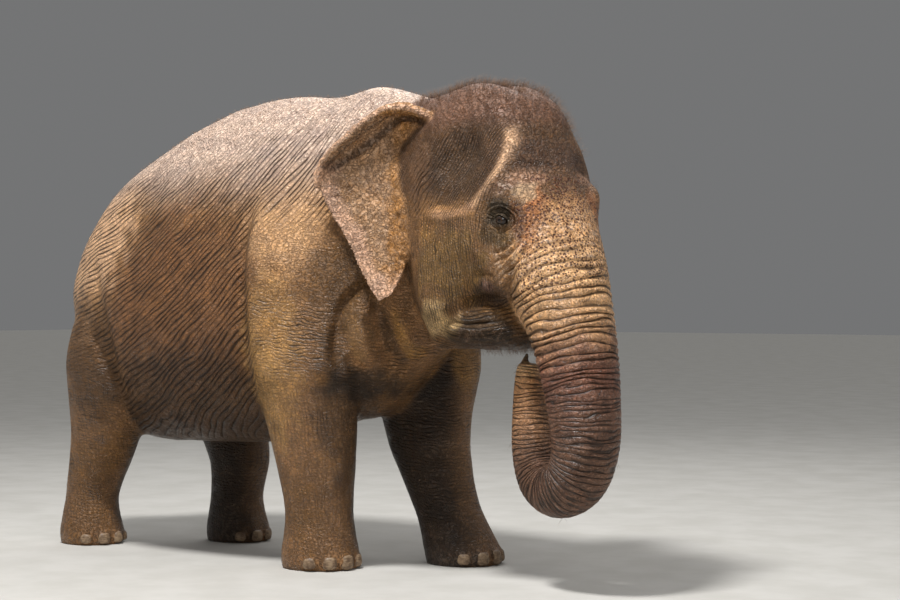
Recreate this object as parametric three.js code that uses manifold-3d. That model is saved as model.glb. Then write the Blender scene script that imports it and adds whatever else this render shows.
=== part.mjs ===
// Asian elephant cow at life size, standing with the trunk curled back towards the mouth.
// Millimetres, +Z up, +X towards the head, +Y to the animal's left. The soles rest on z = 0.
//
// One chain of rings runs from the rump over the barrel, neck and head to the tip of the trunk, and
// is parted into lengths. Legs, lower jaw, ears, eyes and tail are made on their own, and are cut
// clear of what they grow from.
import * as THREE from 'three';
import { mergeVertices } from 'three/addons/utils/BufferGeometryUtils.js';
import Module from 'manifold-3d';

const wasm = await Module();
wasm.setup();

// ---------------------------------------------------------------- driving dimensions
const ROUND = 0.95; // section power of a full, rounded ring
const BOXY = 0.8; // section power of the cheeks and jaw, whose sides stand steeper
const ROOF = 1.1; // section power of the back, which falls away from the spine like a roof
const GAP = 0.3; // clearance between touching nodes
const CUT_CLEARANCE = 0.5; // how far a cutting body stands proud, so that GAP is kept on slopes
const NECK_PIVOT_X = 1000; // the head turns about a plumb line here
const HEAD_TURN = THREE.MathUtils.degToRad(-13); // towards the animal's right
const RUMP_START = 0.45; // where the first ring of the rump stands on the body chain

const RUMP = {
  centreX: -760, length: 462, lean: 4, midRise: 50, up: 462, down: 560, side: 498, steps: 5,
};

// Stations of the body chain. Each ring has a centre, a lean (its top leans back when positive,
// and turns past -90 as the trunk hangs), and its reach up, down and to each side of the centre.
const STATIONS = [
  { part: 'hips', x: -760, z: 1320, lean: 0, up: 690, down: 772, side: 530 },
  { part: 'loin', x: -490, z: 1270, lean: 0, up: 880, down: 722, side: 585 },
  { part: 'barrel', x: -150, z: 1220, lean: 0, up: 1048, down: 664, side: 620 },
  { part: 'ribs', x: 200, z: 1260, lean: 0, up: 1050, down: 680, side: 600 },
  { part: 'shoulder', x: 500, z: 1330, lean: 3, up: 960, down: 650, side: 545 },
  { part: 'withers', x: 700, z: 1400, lean: 6, up: 905, down: 670, side: 475 },
  { part: 'neckBase', x: 875, z: 1600, lean: 10, up: 738, down: 662, side: 405 },
  { part: 'neck', x: 1000, z: 1690, lean: 10, up: 612, down: 640, side: 355 },
  { part: 'nape', x: 1140, z: 1720, lean: 9, up: 532, down: 598, side: 325 },
  { part: 'poll', x: 1270, z: 1735, lean: 5, up: 520, down: 650, side: 322 },
  { part: 'crownBack', x: 1420, z: 1750, lean: -1, up: 515, down: 690, side: 348 },
  { part: 'crown', x: 1560, z: 1750, lean: -7, up: 513, down: 690, side: 348 },
  { part: 'foreheadTop', x: 1692, z: 1722, lean: -13, up: 492, down: 645, side: 330 },
  { part: 'forehead', x: 1762, z: 1680, lean: -17, up: 418, down: 560, side: 306 },
  { part: 'brow', x: 1812, z: 1610, lean: -22, up: 338, down: 450, side: 290 },
  { part: 'bridge', x: 1872, z: 1520, lean: -32, up: 284, down: 341, side: 264 },
  { part: 'trunkRoot', x: 1935, z: 1420, lean: -47, up: 236, down: 264, side: 240 },
  { part: 'trunkBase', x: 1992, z: 1320, lean: -63, up: 201, down: 216, side: 218 },
  { part: 'trunkUpper', x: 2050, z: 1170, lean: -71, up: 183, down: 185, side: 192 },
  { part: 'trunkHigh', x: 2098, z: 990, lean: -77, up: 172, down: 165, side: 174 },
  { part: 'trunkMiddle', x: 2127, z: 820, lean: -84, up: 157, down: 150, side: 160 },
  { part: 'trunkLow', x: 2138, z: 650, lean: -96, up: 146, down: 140, side: 148 },
  { part: 'bendFront', x: 2082, z: 505, lean: -128, up: 136, down: 130, side: 138 },
  { part: 'bendBottom', x: 1962, z: 442, lean: -174, up: 125, down: 120, side: 128 },
  { part: 'bendRear', x: 1852, z: 490, lean: -220, up: 113, down: 110, side: 116 },
  { part: 'riseLow', x: 1796, z: 620, lean: -256, up: 100, down: 98, side: 102 },
  { part: 'riseMiddle', x: 1772, z: 780, lean: -264, up: 82, down: 80, side: 84 },
  { part: 'riseHigh', x: 1762, z: 920, lean: -270, up: 66, down: 64, side: 68 },
  { part: 'trunkTip', x: 1766, z: 1000, lean: -274, up: 50, down: 48, side: 54 },
];

// Gentle swellings (lift > 0) and hollows (lift < 0) of the chain, alike on both sides:
// a centre, how far each fades out along x, y and z, and the lift.
const SWELLINGS = [
  { part: 'shoulder blade', at: [480, 520, 1480], fade: [230, 200, 330], lift: 22 },
  { part: 'hip bone', at: [-720, 380, 1850], fade: [150, 150, 150], lift: 34 },
  { part: 'flank hollow', at: [-520, 560, 1640], fade: [170, 200, 260], lift: -34 },
  { part: 'crown dome', at: [1560, 150, 2250], fade: [210, 105, 150], lift: 38 },
  { part: 'crown groove', at: [1640, 0, 2250], fade: [260, 60, 200], lift: -24 },
  { part: 'temple', at: [1650, 330, 1930], fade: [130, 120, 150], lift: -62 },
  { part: 'brow ridge', at: [1945, 262, 1738], fade: [85, 82, 64], lift: 84 },
  { part: 'cheekbone', at: [1680, 300, 1570], fade: [160, 120, 90], lift: 26 },
  { part: 'jaw muscle', at: [1490, 300, 1270], fade: [140, 130, 170], lift: 46 },
  { part: 'jaw corner', at: [1375, 260, 1140], fade: [100, 140, 120], lift: 84 },
  { part: 'throat latch', at: [1190, 320, 1330], fade: [105, 140, 250], lift: -52 },
  { part: 'tusk sheath', at: [1850, 210, 1350], fade: [90, 90, 110], lift: 24 },
];

// Legs: rings at set heights, with the half length fore and aft and the reach from the midline to
// the inner and outer skin. Each leg lists where its rings stand along x.
const FORELEG_RINGS = [
  { z: 1430, long: 120, inner: 190, outer: 400 },
  { z: 1260, long: 240, inner: 110, outer: 500 },
  { z: 1000, long: 296, inner: 100, outer: 526 },
  { z: 790, long: 262, inner: 108, outer: 488 },
  { z: 600, long: 222, inner: 108, outer: 458 },
  { z: 430, long: 190, inner: 110, outer: 442 },
  { z: 280, long: 165, inner: 115, outer: 430 },
  { z: 170, long: 172, inner: 108, outer: 438 },
  { z: 60, long: 192, inner: 95, outer: 452 },
  { z: 0, long: 184, inner: 102, outer: 445 },
];
const HINDLEG_RINGS = [
  { z: 1400, long: 110, inner: 180, outer: 380 },
  { z: 1240, long: 238, inner: 100, outer: 498 },
  { z: 1010, long: 296, inner: 90, outer: 536 },
  { z: 800, long: 256, inner: 98, outer: 500 },
  { z: 620, long: 204, inner: 110, outer: 455 },
  { z: 440, long: 168, inner: 125, outer: 430 },
  { z: 260, long: 137, inner: 138, outer: 412 },
  { z: 160, long: 148, inner: 130, outer: 420 },
  { z: 60, long: 172, inner: 115, outer: 436 },
  { z: 0, long: 164, inner: 122, outer: 429 },
];
const FORE_TOES = { count: 5, spread: 2.1, turn: 0.12, wide: 44, high: 36, deep: 13, sunk: 24, z: 40 };
const HIND_TOES = { count: 4, spread: 1.75, turn: 0.1, wide: 39, high: 33, deep: 12, sunk: 22, z: 37 };
const NAIL_SIDES = 8;
const LEGS = [
  {
    name: 'right', side: -1, kind: 'fore', rings: FORELEG_RINGS, toes: FORE_TOES,
    x: [640, 590, 540, 528, 545, 560, 570, 575, 578, 578],
  },
  {
    name: 'left', side: 1, kind: 'fore', rings: FORELEG_RINGS, toes: FORE_TOES,
    x: [740, 750, 765, 775, 800, 855, 920, 975, 1022, 1030],
  },
  {
    name: 'right', side: -1, kind: 'hind', rings: HINDLEG_RINGS, toes: HIND_TOES,
    x: [-780, -780, -800, -858, -912, -970, -1035, -1045, -1040, -1040],
  },
  {
    name: 'left', side: 1, kind: 'hind', rings: HINDLEG_RINGS, toes: HIND_TOES,
    x: [-790, -770, -725, -640, -560, -490, -505, -508, -500, -500],
  },
];
const KNEE_RING = 4.6; // upper and lower leg part here
const ANKLE_RING = 6.6; // lower leg and foot part here

const JAW_STATIONS = [
  { part: 'root', x: 1400, z: 1165, lean: -4, up: 92, down: 78, side: 215 },
  { part: 'body', x: 1530, z: 1165, lean: -4, up: 150, down: 108, side: 284 },
  { part: 'chin', x: 1670, z: 1162, lean: -4, up: 160, down: 104, side: 262 },
  { part: 'lip', x: 1785, z: 1162, lean: -2, up: 134, down: 88, side: 204 },
  { part: 'lipEnd', x: 1860, z: 1166, lean: 0, up: 60, down: 46, side: 84 },
];

// The ear: a sheet from its root line on the head out to a free edge. Both lists run from the top
// front, over the rear corner, to the foot of the lobe: reach back from x, height.
const EAR = {
  x: 1275, y: 318, flare: 0.44, sink: 24, tuck: 62, cup: 16, curl: 55, strip: 34, stripFrom: 0.7,
  thick: 20, thin: 10, rollRadius: 27, rollEnd: 17, rollShare: 0.42,
};
const EAR_EDGE = [
  [-92, 2122], [-20, 2166], [62, 2174], [150, 2135], [240, 2072], [330, 1997], [400, 1932],
  [447, 1866], [430, 1806], [390, 1701], [330, 1616], [277, 1511], [222, 1406], [174, 1314],
  [122, 1262], [74, 1292], [36, 1404], [4, 1490], [-16, 1560],
];
const EAR_ROOT = [
  [-70, 2090], [30, 2052], [90, 1985], [38, 1868], [-22, 1770], [-48, 1665], [-46, 1590],
];

const EYE = { x: 1913, y: 500, z: 1632, radius: 26, depth: 15, lidLong: 44, lidHigh: 24, lidThick: 10 };

const TAIL_PATH = [
  [-1040, 1610], [-1165, 1560], [-1252, 1460], [-1300, 1290], [-1318, 1080], [-1314, 870],
  [-1302, 700],
];
const TAIL = { rootRadius: 62, endRadius: 19, splitAt: 0.5, tuftAt: 0.8 };
const TUFT = { locks: 14, long: 265, wide: 19, thick: 4, spread: 0.36, steps: 5, seed: 7 };

const NOSTRIL = { apart: 20, radius: 13, depth: 90 };
const FINGER = { long: 44, radius: 19, broad: 1.7, inset: 19, hook: 15 };

// ---------------------------------------------------------------- finishes
const skin = (hex) => new THREE.MeshStandardMaterial({ color: hex, roughness: 0.92, metalness: 0 });
const HIDE = skin(0x7a5a46);
const FACE_HIDE = skin(0x84624c);
const TRUNK_HIDE = skin(0x9a7058);
const EAR_HIDE = skin(0xa58468);
const TUFT_HAIR = skin(0x2a211c);
const EYE_GLOSS = new THREE.MeshStandardMaterial({ color: 0x241409, roughness: 0.12, metalness: 0 });

// ---------------------------------------------------------------- solids
const signedPower = (value, power) => Math.sign(value) * Math.abs(value) ** power;

/** A closed solid from rings of points, each ring ending in a fan round its pole or its middle. */
function loft(rings, firstPole, lastPole) {
  const sides = rings[0].length;
  const points = rings.flat();
  const faces = [];
  for (let r = 0; r + 1 < rings.length; r += 1) {
    for (let i = 0; i < sides; i += 1) {
      const a = r * sides + i;
      const b = r * sides + ((i + 1) % sides);
      faces.push(a, b, b + sides, a, b + sides, a + sides);
    }
  }
  const middle = (ring) => ring.reduce((sum, p) => sum.add(p), new THREE.Vector3())
    .divideScalar(ring.length);
  const first = points.length;
  points.push(firstPole ?? middle(rings[0]), lastPole ?? middle(rings[rings.length - 1]));
  const lastRing = (rings.length - 1) * sides;
  for (let i = 0; i < sides; i += 1) {
    const next = (i + 1) % sides;
    faces.push(first, next, i, first + 1, lastRing + i, lastRing + next);
  }
  return solidFrom(points, faces);
}

/** The geometry of a list of points and faces, turned so that its faces point out. */
function solidFrom(points, faces) {
  let volume = 0;
  for (let i = 0; i < faces.length; i += 3) {
    const [a, b, c] = [points[faces[i]], points[faces[i + 1]], points[faces[i + 2]]];
    volume += a.dot(new THREE.Vector3().crossVectors(b, c));
  }
  if (volume < 0) faces.reverse();
  const geometry = new THREE.BufferGeometry().setFromPoints(points);
  geometry.setIndex(faces);
  return geometry;
}

function toSolid(geometry) {
  const plain = geometry.clone();
  plain.deleteAttribute('normal');
  plain.deleteAttribute('uv');
  const merged = mergeVertices(plain, 1e-4);
  return new wasm.Manifold(new wasm.Mesh({
    numProp: 3,
    vertProperties: new Float32Array(merged.getAttribute('position').array),
    triVerts: new Uint32Array(merged.index.array),
  }));
}

/** The largest closed piece of a solid, as a geometry. */
function fromSolid(solid) {
  const pieces = solid.decompose().sort((a, b) => b.volume() - a.volume());
  const mesh = pieces[0].getMesh();
  const geometry = new THREE.BufferGeometry();
  geometry.setAttribute('position', new THREE.BufferAttribute(mesh.vertProperties, 3));
  geometry.setIndex(new THREE.BufferAttribute(mesh.triVerts, 1));
  return geometry;
}

// ---------------------------------------------------------------- chains of rings
function rumpStations() {
  const hips = STATIONS[0];
  const stations = [];
  for (let i = 0; i < RUMP.steps; i += 1) {
    const turn = (i / (RUMP.steps + 1)) * (Math.PI / 2) * 1.2;
    const share = 1 - Math.cos(turn);
    const grow = Math.sin(turn);
    stations.push({
      x: RUMP.centreX - RUMP.length * Math.cos(turn),
      z: hips.z - RUMP.midRise * (1 - share),
      lean: RUMP.lean * (1 - share),
      up: grow * THREE.MathUtils.lerp(RUMP.up, hips.up, share),
      down: grow * THREE.MathUtils.lerp(RUMP.down, hips.down, share),
      side: grow * THREE.MathUtils.lerp(RUMP.side, hips.side, share),
    });
  }
  return stations;
}

/** Smooth curves through a list of stations, read at any place between two of them. */
class Chain {
  constructor(stations) {
    this.last = stations.length - 1;
    this.places = new THREE.CatmullRomCurve3(
      stations.map((s) => new THREE.Vector3(s.x, s.lean, s.z)), false, 'catmullrom', 0.5,
    );
    this.sizes = new THREE.CatmullRomCurve3(
      stations.map((s) => new THREE.Vector3(s.up, s.down, s.side)), false, 'catmullrom', 0.5,
    );
  }

  /** Centre, axes and reach of the ring at a place, moved a little along the chain. */
  frame(place, shift = 0) {
    const at = THREE.MathUtils.clamp(place / this.last, 0, 1);
    const spot = this.places.getPoint(at);
    const reach = this.sizes.getPoint(at);
    const lean = THREE.MathUtils.degToRad(spot.y);
    const along = new THREE.Vector3(Math.cos(lean), 0, Math.sin(lean));
    return {
      centre: new THREE.Vector3(spot.x, 0, spot.z).addScaledVector(along, shift),
      top: new THREE.Vector3(-Math.sin(lean), 0, Math.cos(lean)),
      along,
      up: Math.max(reach.x, 1),
      down: Math.max(reach.y, 1),
      side: Math.max(reach.z, 1),
    };
  }
}

const swellingAt = (p) => SWELLINGS.reduce((sum, { at, fade, lift }) => {
  const dx = (p.x - at[0]) / fade[0];
  const dy = (Math.abs(p.y) - at[1]) / fade[1];
  const dz = (p.z - at[2]) / fade[2];
  return sum + lift * Math.exp(-(dx * dx + dy * dy + dz * dz));
}, 0);

const rump = rumpStations();
const bodyChain = new Chain([...rump, ...STATIONS]);
const placeOf = (part) => rump.length + STATIONS.findIndex((s) => s.part === part);
const turnStart = placeOf('neckBase');
const turnEnd = placeOf('nape');
const turnShare = (place) => THREE.MathUtils.smoothstep(place, turnStart, turnEnd);
const UP = new THREE.Vector3(0, 0, 1);
const neckPivot = new THREE.Vector3(NECK_PIVOT_X, 0, 0);

/** Turns a point of the head or neck about the neck's pivot. */
function turned(point, share = 1) {
  return point.sub(neckPivot).applyAxisAngle(UP, HEAD_TURN * share).add(neckPivot);
}

/** One ring of a chain. Grow moves the skin out, and shift moves the ring along the chain. */
function ringAt(chain, place, sides, grow, shift, shape) {
  const { centre, top, up, down, side } = chain.frame(place, shift);
  const roof = shape ? THREE.MathUtils.lerp(ROOF, ROUND, turnShare(place)) : ROUND;
  const keel = shape ? THREE.MathUtils.lerp(ROUND, BOXY, turnShare(place)) : BOXY;
  const ring = [];
  for (let i = 0; i < sides; i += 1) {
    const angle = (i / sides) * Math.PI * 2;
    const rise = Math.cos(angle);
    const power = rise > 0 ? roof : keel;
    const out = new THREE.Vector3()
      .addScaledVector(top, (rise > 0 ? up : down) * signedPower(rise, power));
    out.y = side * signedPower(Math.sin(angle), power);
    const point = centre.clone().add(out);
    point.addScaledVector(out.normalize(), grow + (shape ? swellingAt(point) : 0));
    ring.push(shape ? turned(point, turnShare(place)) : point);
  }
  return ring;
}

/** A length of a chain as a solid, drawn back by half the gap at both ends. */
function chainLength(chain, from, to, steps, sides, { grow = 0, shape = true, poleAt = null } = {}) {
  const rings = [];
  for (let i = 0; i <= steps; i += 1) {
    const place = THREE.MathUtils.lerp(from, to, i / steps);
    const inset = GAP / 2 - grow;
    const shift = (i === 0 ? inset : 0) - (i === steps ? inset : 0);
    rings.push(ringAt(chain, place, sides, grow, shift, shape));
  }
  const pole = poleAt === null ? undefined : bodyChain.frame(poleAt).centre;
  return loft(rings, pole);
}

/** A named length of the body chain between two stations. */
const lengthOf = (name, from, to, steps, sides, hide) => ({
  name, from: placeOf(from), to: placeOf(to), steps, sides, hide,
});
const BODY_LENGTHS = [
  { ...lengthOf('torso_hind', 'hips', 'barrel', 13, 40, HIDE), from: RUMP_START },
  lengthOf('torso_fore', 'barrel', 'neckBase', 9, 40, HIDE),
  lengthOf('neck', 'neckBase', 'nape', 4, 40, HIDE),
  lengthOf('head', 'nape', 'trunkBase', 18, 42, FACE_HIDE),
  lengthOf('trunk_1', 'trunkBase', 'trunkHigh', 7, 28, TRUNK_HIDE),
  lengthOf('trunk_2', 'trunkHigh', 'trunkLow', 7, 26, TRUNK_HIDE),
  lengthOf('trunk_3', 'trunkLow', 'bendRear', 10, 24, TRUNK_HIDE),
  lengthOf('trunk_4', 'bendRear', 'riseMiddle', 6, 22, TRUNK_HIDE),
  lengthOf('trunk_5', 'riseMiddle', 'trunkTip', 5, 20, TRUNK_HIDE),
];

const bodyLength = ({ from, to, steps, sides }, grow = 0) => chainLength(
  bodyChain, from, to, steps, sides, { grow, poleAt: from < 1 ? 0 : null },
);
const bodyPart = (name) => BODY_LENGTHS.find((length) => length.name === name);

/** The parts of the body chain a neighbour must keep clear of, as one solid. */
function clearOf(...names) {
  return names.map((name) => toSolid(bodyLength(bodyPart(name), CUT_CLEARANCE)))
    .reduce((all, next) => all.add(next));
}

// ---------------------------------------------------------------- legs
function legRing(leg, place, shift, sides) {
  const low = Math.min(Math.floor(place), leg.rings.length - 2);
  const share = place - low;
  const curve = (read) => {
    const at = (i) => read(THREE.MathUtils.clamp(i, 0, leg.rings.length - 1));
    const [p, a, b, n] = [at(low - 1), at(low), at(low + 1), at(low + 2)];
    return a + 0.5 * share * (b - p + share * (2 * p - 5 * a + 4 * b - n + share * (3 * (a - b) + n - p)));
  };
  const x = curve((i) => leg.x[i]);
  const z = THREE.MathUtils.lerp(leg.rings[low].z, leg.rings[low + 1].z, share);
  const inner = curve((i) => leg.rings[i].inner);
  const outer = curve((i) => leg.rings[i].outer);
  const long = curve((i) => leg.rings[i].long);
  const ring = [];
  for (let i = 0; i < sides; i += 1) {
    const angle = (i / sides) * Math.PI * 2;
    ring.push(new THREE.Vector3(
      x + long * signedPower(Math.cos(angle), 0.93),
      leg.side * ((inner + outer) / 2 + ((outer - inner) / 2) * signedPower(Math.sin(angle), 0.93)),
      z + shift,
    ));
  }
  return ring;
}

function legLength(leg, from, to, steps, sides) {
  const rings = [];
  for (let i = 0; i <= steps; i += 1) {
    const atTop = i === 0 && from > 0;
    const atFoot = i === steps && to < leg.rings.length - 1;
    const shift = (atTop ? -GAP / 2 : 0) + (atFoot ? GAP / 2 : 0);
    rings.push(legRing(leg, THREE.MathUtils.lerp(from, to, i / steps), shift, sides));
  }
  return loft(rings);
}

/** Toenails: low rounded plates set round the front of a foot, with their backs sunk in it. */
function toenails(leg) {
  const { count, spread, turn, wide, high, deep, sunk, z } = leg.toes;
  const sole = leg.rings[leg.rings.length - 2];
  const x = leg.x[leg.rings.length - 2];
  const nails = [];
  for (let i = 0; i < count; i += 1) {
    const angle = leg.side * (turn + spread * (i / (count - 1) - 0.5));
    const middle = 1 - Math.abs(i / (count - 1) - 0.5) * 0.4;
    const centre = new THREE.Vector3(
      x + sole.long * Math.cos(angle),
      leg.side * ((sole.inner + sole.outer) / 2) + ((sole.outer - sole.inner) / 2) * Math.sin(angle),
      z,
    );
    const out = new THREE.Vector3(Math.cos(angle), Math.sin(angle), 0);
    const across = new THREE.Vector3(-Math.sin(angle), Math.cos(angle), 0);
    const rings = [[-sunk, 1], [deep * 0.4, 1], [deep, 0.72]].map(([depth, size]) => {
      const ring = [];
      for (let k = 0; k < NAIL_SIDES; k += 1) {
        const turnRound = ((k + 0.5) / NAIL_SIDES) * Math.PI * 2;
        ring.push(centre.clone().addScaledVector(out, depth)
          .addScaledVector(across, wide * middle * size * signedPower(Math.cos(turnRound), 0.8))
          .addScaledVector(UP, high * middle * size * signedPower(Math.sin(turnRound), 0.8)));
      }
      return ring;
    });
    nails.push(toSolid(loft(rings)));
  }
  return nails;
}

function buildLeg(leg, trunkOfBody) {
  const end = leg.rings.length - 1;
  const upper = toSolid(legLength(leg, 0, KNEE_RING, 10, 24)).subtract(trunkOfBody);
  const foot = toenails(leg).reduce(
    (all, nail) => all.add(nail), toSolid(legLength(leg, ANKLE_RING, end, 4, 24)),
  );
  return [
    [`${leg.kind}leg_upper_${leg.name}`, fromSolid(upper), HIDE],
    [`${leg.kind}leg_lower_${leg.name}`, legLength(leg, KNEE_RING, ANKLE_RING, 4, 24), HIDE],
    [`${leg.kind}foot_${leg.name}`, fromSolid(foot), HIDE],
  ];
}

// ---------------------------------------------------------------- tubes
/** A tapering tube with round ends along a smooth path. */
function tube(path, radiusAt, steps, sides, flat = 1) {
  const curve = new THREE.CatmullRomCurve3(path, false, 'catmullrom', 0.5);
  const frames = curve.computeFrenetFrames(steps, false);
  const rings = [];
  for (let i = 0; i <= steps; i += 1) {
    const centre = curve.getPointAt(i / steps);
    const radius = radiusAt(i / steps);
    const ring = [];
    for (let k = 0; k < sides; k += 1) {
      const angle = (k / sides) * Math.PI * 2;
      ring.push(centre.clone()
        .addScaledVector(frames.normals[i], radius * Math.cos(angle))
        .addScaledVector(frames.binormals[i], radius * flat * Math.sin(angle)));
    }
    rings.push(ring);
  }
  const start = curve.getPointAt(0).addScaledVector(frames.tangents[0], -radiusAt(0) * 0.6);
  const end = curve.getPointAt(1).addScaledVector(frames.tangents[steps], radiusAt(1) * 0.6);
  return loft(rings, start, end);
}

// ---------------------------------------------------------------- ears
const earNormal = (side) => new THREE.Vector3(Math.sin(EAR.flare), side * Math.cos(EAR.flare), 0);

/** A point of the ear's free edge, from its reach back and its height, before the head turns. */
function earEdge(side, back, height) {
  const share = Math.max(back, 0) / 432;
  const low = THREE.MathUtils.clamp((1700 - height) / 420, 0, 1);
  const lift = EAR.curl * share * share + 18 * low * low;
  const tuck = EAR.tuck * (1 - THREE.MathUtils.smoothstep(back, -92, 120)) * (height > 1900 ? 1 : 0);
  const c = Math.cos(EAR.flare);
  const s = Math.sin(EAR.flare);
  return new THREE.Vector3(EAR.x - back * c, side * (EAR.y - tuck + back * s), height)
    .addScaledVector(earNormal(side), lift);
}

/** The skin of the head straight in from the side, at an x and a height before the head turns. */
function skinAt(side, x, height, mesh) {
  const from = turned(new THREE.Vector3(x, side * 900, height));
  const aim = new THREE.Vector3(0, -side, 0).applyAxisAngle(UP, HEAD_TURN);
  return new THREE.Raycaster(from, aim).intersectObject(mesh)[0];
}

/** The ear's sheet as two faces and a rim, its root line sunk in the head. */
function earBlade(side, skinMesh) {
  const curve = (list) => new THREE.CatmullRomCurve3(
    list.map(([back, height]) => new THREE.Vector3(back, 0, height)), false, 'catmullrom', 0.5,
  );
  const edgeLine = curve(EAR_EDGE);
  const rootLine = curve(EAR_ROOT);
  const around = 19;
  const across = 6;
  const normal = earNormal(side).applyAxisAngle(UP, HEAD_TURN);
  const inward = new THREE.Vector3(0, -side, 0).applyAxisAngle(UP, HEAD_TURN);
  const points = [];
  for (const face of [1, -1]) {
    for (let u = 0; u <= around; u += 1) {
      const edge = edgeLine.getPointAt(u / around);
      const root = rootLine.getPointAt(u / around);
      const tip = turned(earEdge(side, edge.x, edge.z));
      const foot = skinAt(side, EAR.x - root.x, root.z, skinMesh).point.clone()
        .addScaledVector(inward, EAR.sink);
      const rear = THREE.MathUtils.smoothstep(u / around, 0.38, 0.52);
      tip.lerp(foot, 0.7 * THREE.MathUtils.smoothstep(u / around, 0.9, 1));
      for (let v = 0; v <= across; v += 1) {
        const share = v / across;
        const half = THREE.MathUtils.lerp(EAR.thick, EAR.thin, share) / 2;
        const hollow = -EAR.cup * Math.sin(Math.PI * share ** 2);
        const valley = share < EAR.stripFrom
          ? share / EAR.stripFrom
          : (1 - share) / (1 - EAR.stripFrom);
        const bent = -EAR.strip * rear * valley;
        points.push(foot.clone().lerp(tip, share).addScaledVector(normal, hollow + bent + face * half));
      }
    }
  }
  return solidFrom(points, sheetFaces(around, across));
}

/** Faces of a closed sheet of two layers, each of (around + 1) rows of (across + 1) points. */
function sheetFaces(around, across) {
  const faces = [];
  const row = across + 1;
  const at = (layer, u, v) => layer * (around + 1) * row + u * row + v;
  const quad = (a, b, c, d) => faces.push(a, b, c, a, c, d);
  for (let u = 0; u < around; u += 1) {
    for (let v = 0; v < across; v += 1) {
      quad(at(0, u, v), at(0, u + 1, v), at(0, u + 1, v + 1), at(0, u, v + 1));
      faces.push(at(1, u, v), at(1, u + 1, v + 1), at(1, u + 1, v));
      faces.push(at(1, u, v), at(1, u, v + 1), at(1, u + 1, v + 1));
    }
    quad(at(0, u, across), at(0, u + 1, across), at(1, u + 1, across), at(1, u, across));
    quad(at(0, u, 0), at(1, u, 0), at(1, u + 1, 0), at(0, u + 1, 0));
  }
  for (let v = 0; v < across; v += 1) {
    quad(at(0, 0, v), at(0, 0, v + 1), at(1, 0, v + 1), at(1, 0, v));
    quad(at(0, around, v), at(1, around, v), at(1, around, v + 1), at(0, around, v + 1));
  }
  return faces;
}

/** One ear: the sheet, with the rolled rim along its upper edge, cut clear of the head. */
function buildEar(side, head, skinMesh) {
  const edgeLine = new THREE.CatmullRomCurve3(
    EAR_EDGE.map(([back, height]) => new THREE.Vector3(back, 0, height)), false, 'catmullrom', 0.5,
  );
  const rollPath = [];
  for (let i = 0; i <= 9; i += 1) {
    const edge = edgeLine.getPointAt((i / 9) * EAR.rollShare);
    rollPath.push(turned(earEdge(side, edge.x, edge.z - 12).addScaledVector(earNormal(side), 12)));
  }
  const radius = (t) => THREE.MathUtils.lerp(EAR.rollRadius, EAR.rollEnd, t * t) * Math.min(1, 0.6 + 4 * t);
  const roll = toSolid(tube(rollPath, radius, 13, 7));
  return fromSolid(toSolid(earBlade(side, skinMesh)).add(roll).subtract(head));
}

// ---------------------------------------------------------------- eyes
/** Where the eye sits on the head, and the outward direction there. */
function eyeSeat(side, mesh) {
  const from = turned(new THREE.Vector3(EYE.x, side * EYE.y, EYE.z));
  const aim = turned(new THREE.Vector3(EYE.x - 60, 0, EYE.z)).sub(from).normalize();
  const hit = new THREE.Raycaster(from, aim).intersectObject(mesh)[0];
  const out = hit.face.normal.clone();
  return { spot: hit.point.clone(), out };
}

function eyeBall(seat, radius) {
  const ball = new THREE.SphereGeometry(radius, 12, 8);
  const centre = seat.spot.clone().addScaledVector(seat.out, EYE.depth - EYE.radius);
  ball.translate(centre.x, centre.y, centre.z);
  return ball;
}

/** The upper and lower lid: two tapering folds that meet at the corners of the eye. */
function lids(seat) {
  const across = new THREE.Vector3().crossVectors(UP, seat.out).normalize();
  const rise = new THREE.Vector3().crossVectors(seat.out, across).normalize();
  return [1, -1].map((way) => {
    const path = [];
    for (let i = 0; i <= 6; i += 1) {
      const angle = (i / 6) * Math.PI;
      path.push(seat.spot.clone()
        .addScaledVector(across, EYE.lidLong * Math.cos(angle))
        .addScaledVector(rise, way * EYE.lidHigh * Math.sin(angle))
        .addScaledVector(seat.out, 5 * Math.sin(angle) - 3));
    }
    return toSolid(tube(path, (t) => EYE.lidThick * (0.45 + 0.55 * Math.sin(Math.PI * t)), 8, 6));
  });
}

// ---------------------------------------------------------------- tail
/** Evenly spread numbers that look random, from a seed. */
function seededRandom(seed) {
  let state = seed;
  return () => {
    state = (state * 16807) % 2147483647;
    return state / 2147483647;
  };
}

const tailCurve = new THREE.CatmullRomCurve3(
  TAIL_PATH.map(([x, z]) => new THREE.Vector3(x, 0, z)), false, 'catmullrom', 0.5,
);
const tailRadius = (t) => THREE.MathUtils.lerp(TAIL.rootRadius, TAIL.endRadius, t ** 0.7);

function tailLength(from, to, steps, sides) {
  const rings = [];
  for (let i = 0; i <= steps; i += 1) {
    const t = THREE.MathUtils.lerp(from, to, i / steps);
    const along = tailCurve.getTangentAt(t);
    const across = new THREE.Vector3().crossVectors(along, new THREE.Vector3(0, 1, 0)).normalize();
    const shift = (i === 0 && from > 0 ? GAP / 2 : 0) - (i === steps && to < 1 ? GAP / 2 : 0);
    const centre = tailCurve.getPointAt(t).addScaledVector(along, shift);
    const ring = [];
    for (let k = 0; k < sides; k += 1) {
      const angle = (k / sides) * Math.PI * 2;
      ring.push(centre.clone()
        .addScaledVector(across, tailRadius(t) * 1.15 * Math.cos(angle))
        .addScaledVector(new THREE.Vector3(0, 1, 0), tailRadius(t) * Math.sin(angle)));
    }
    rings.push(ring);
  }
  return loft(rings);
}

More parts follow.
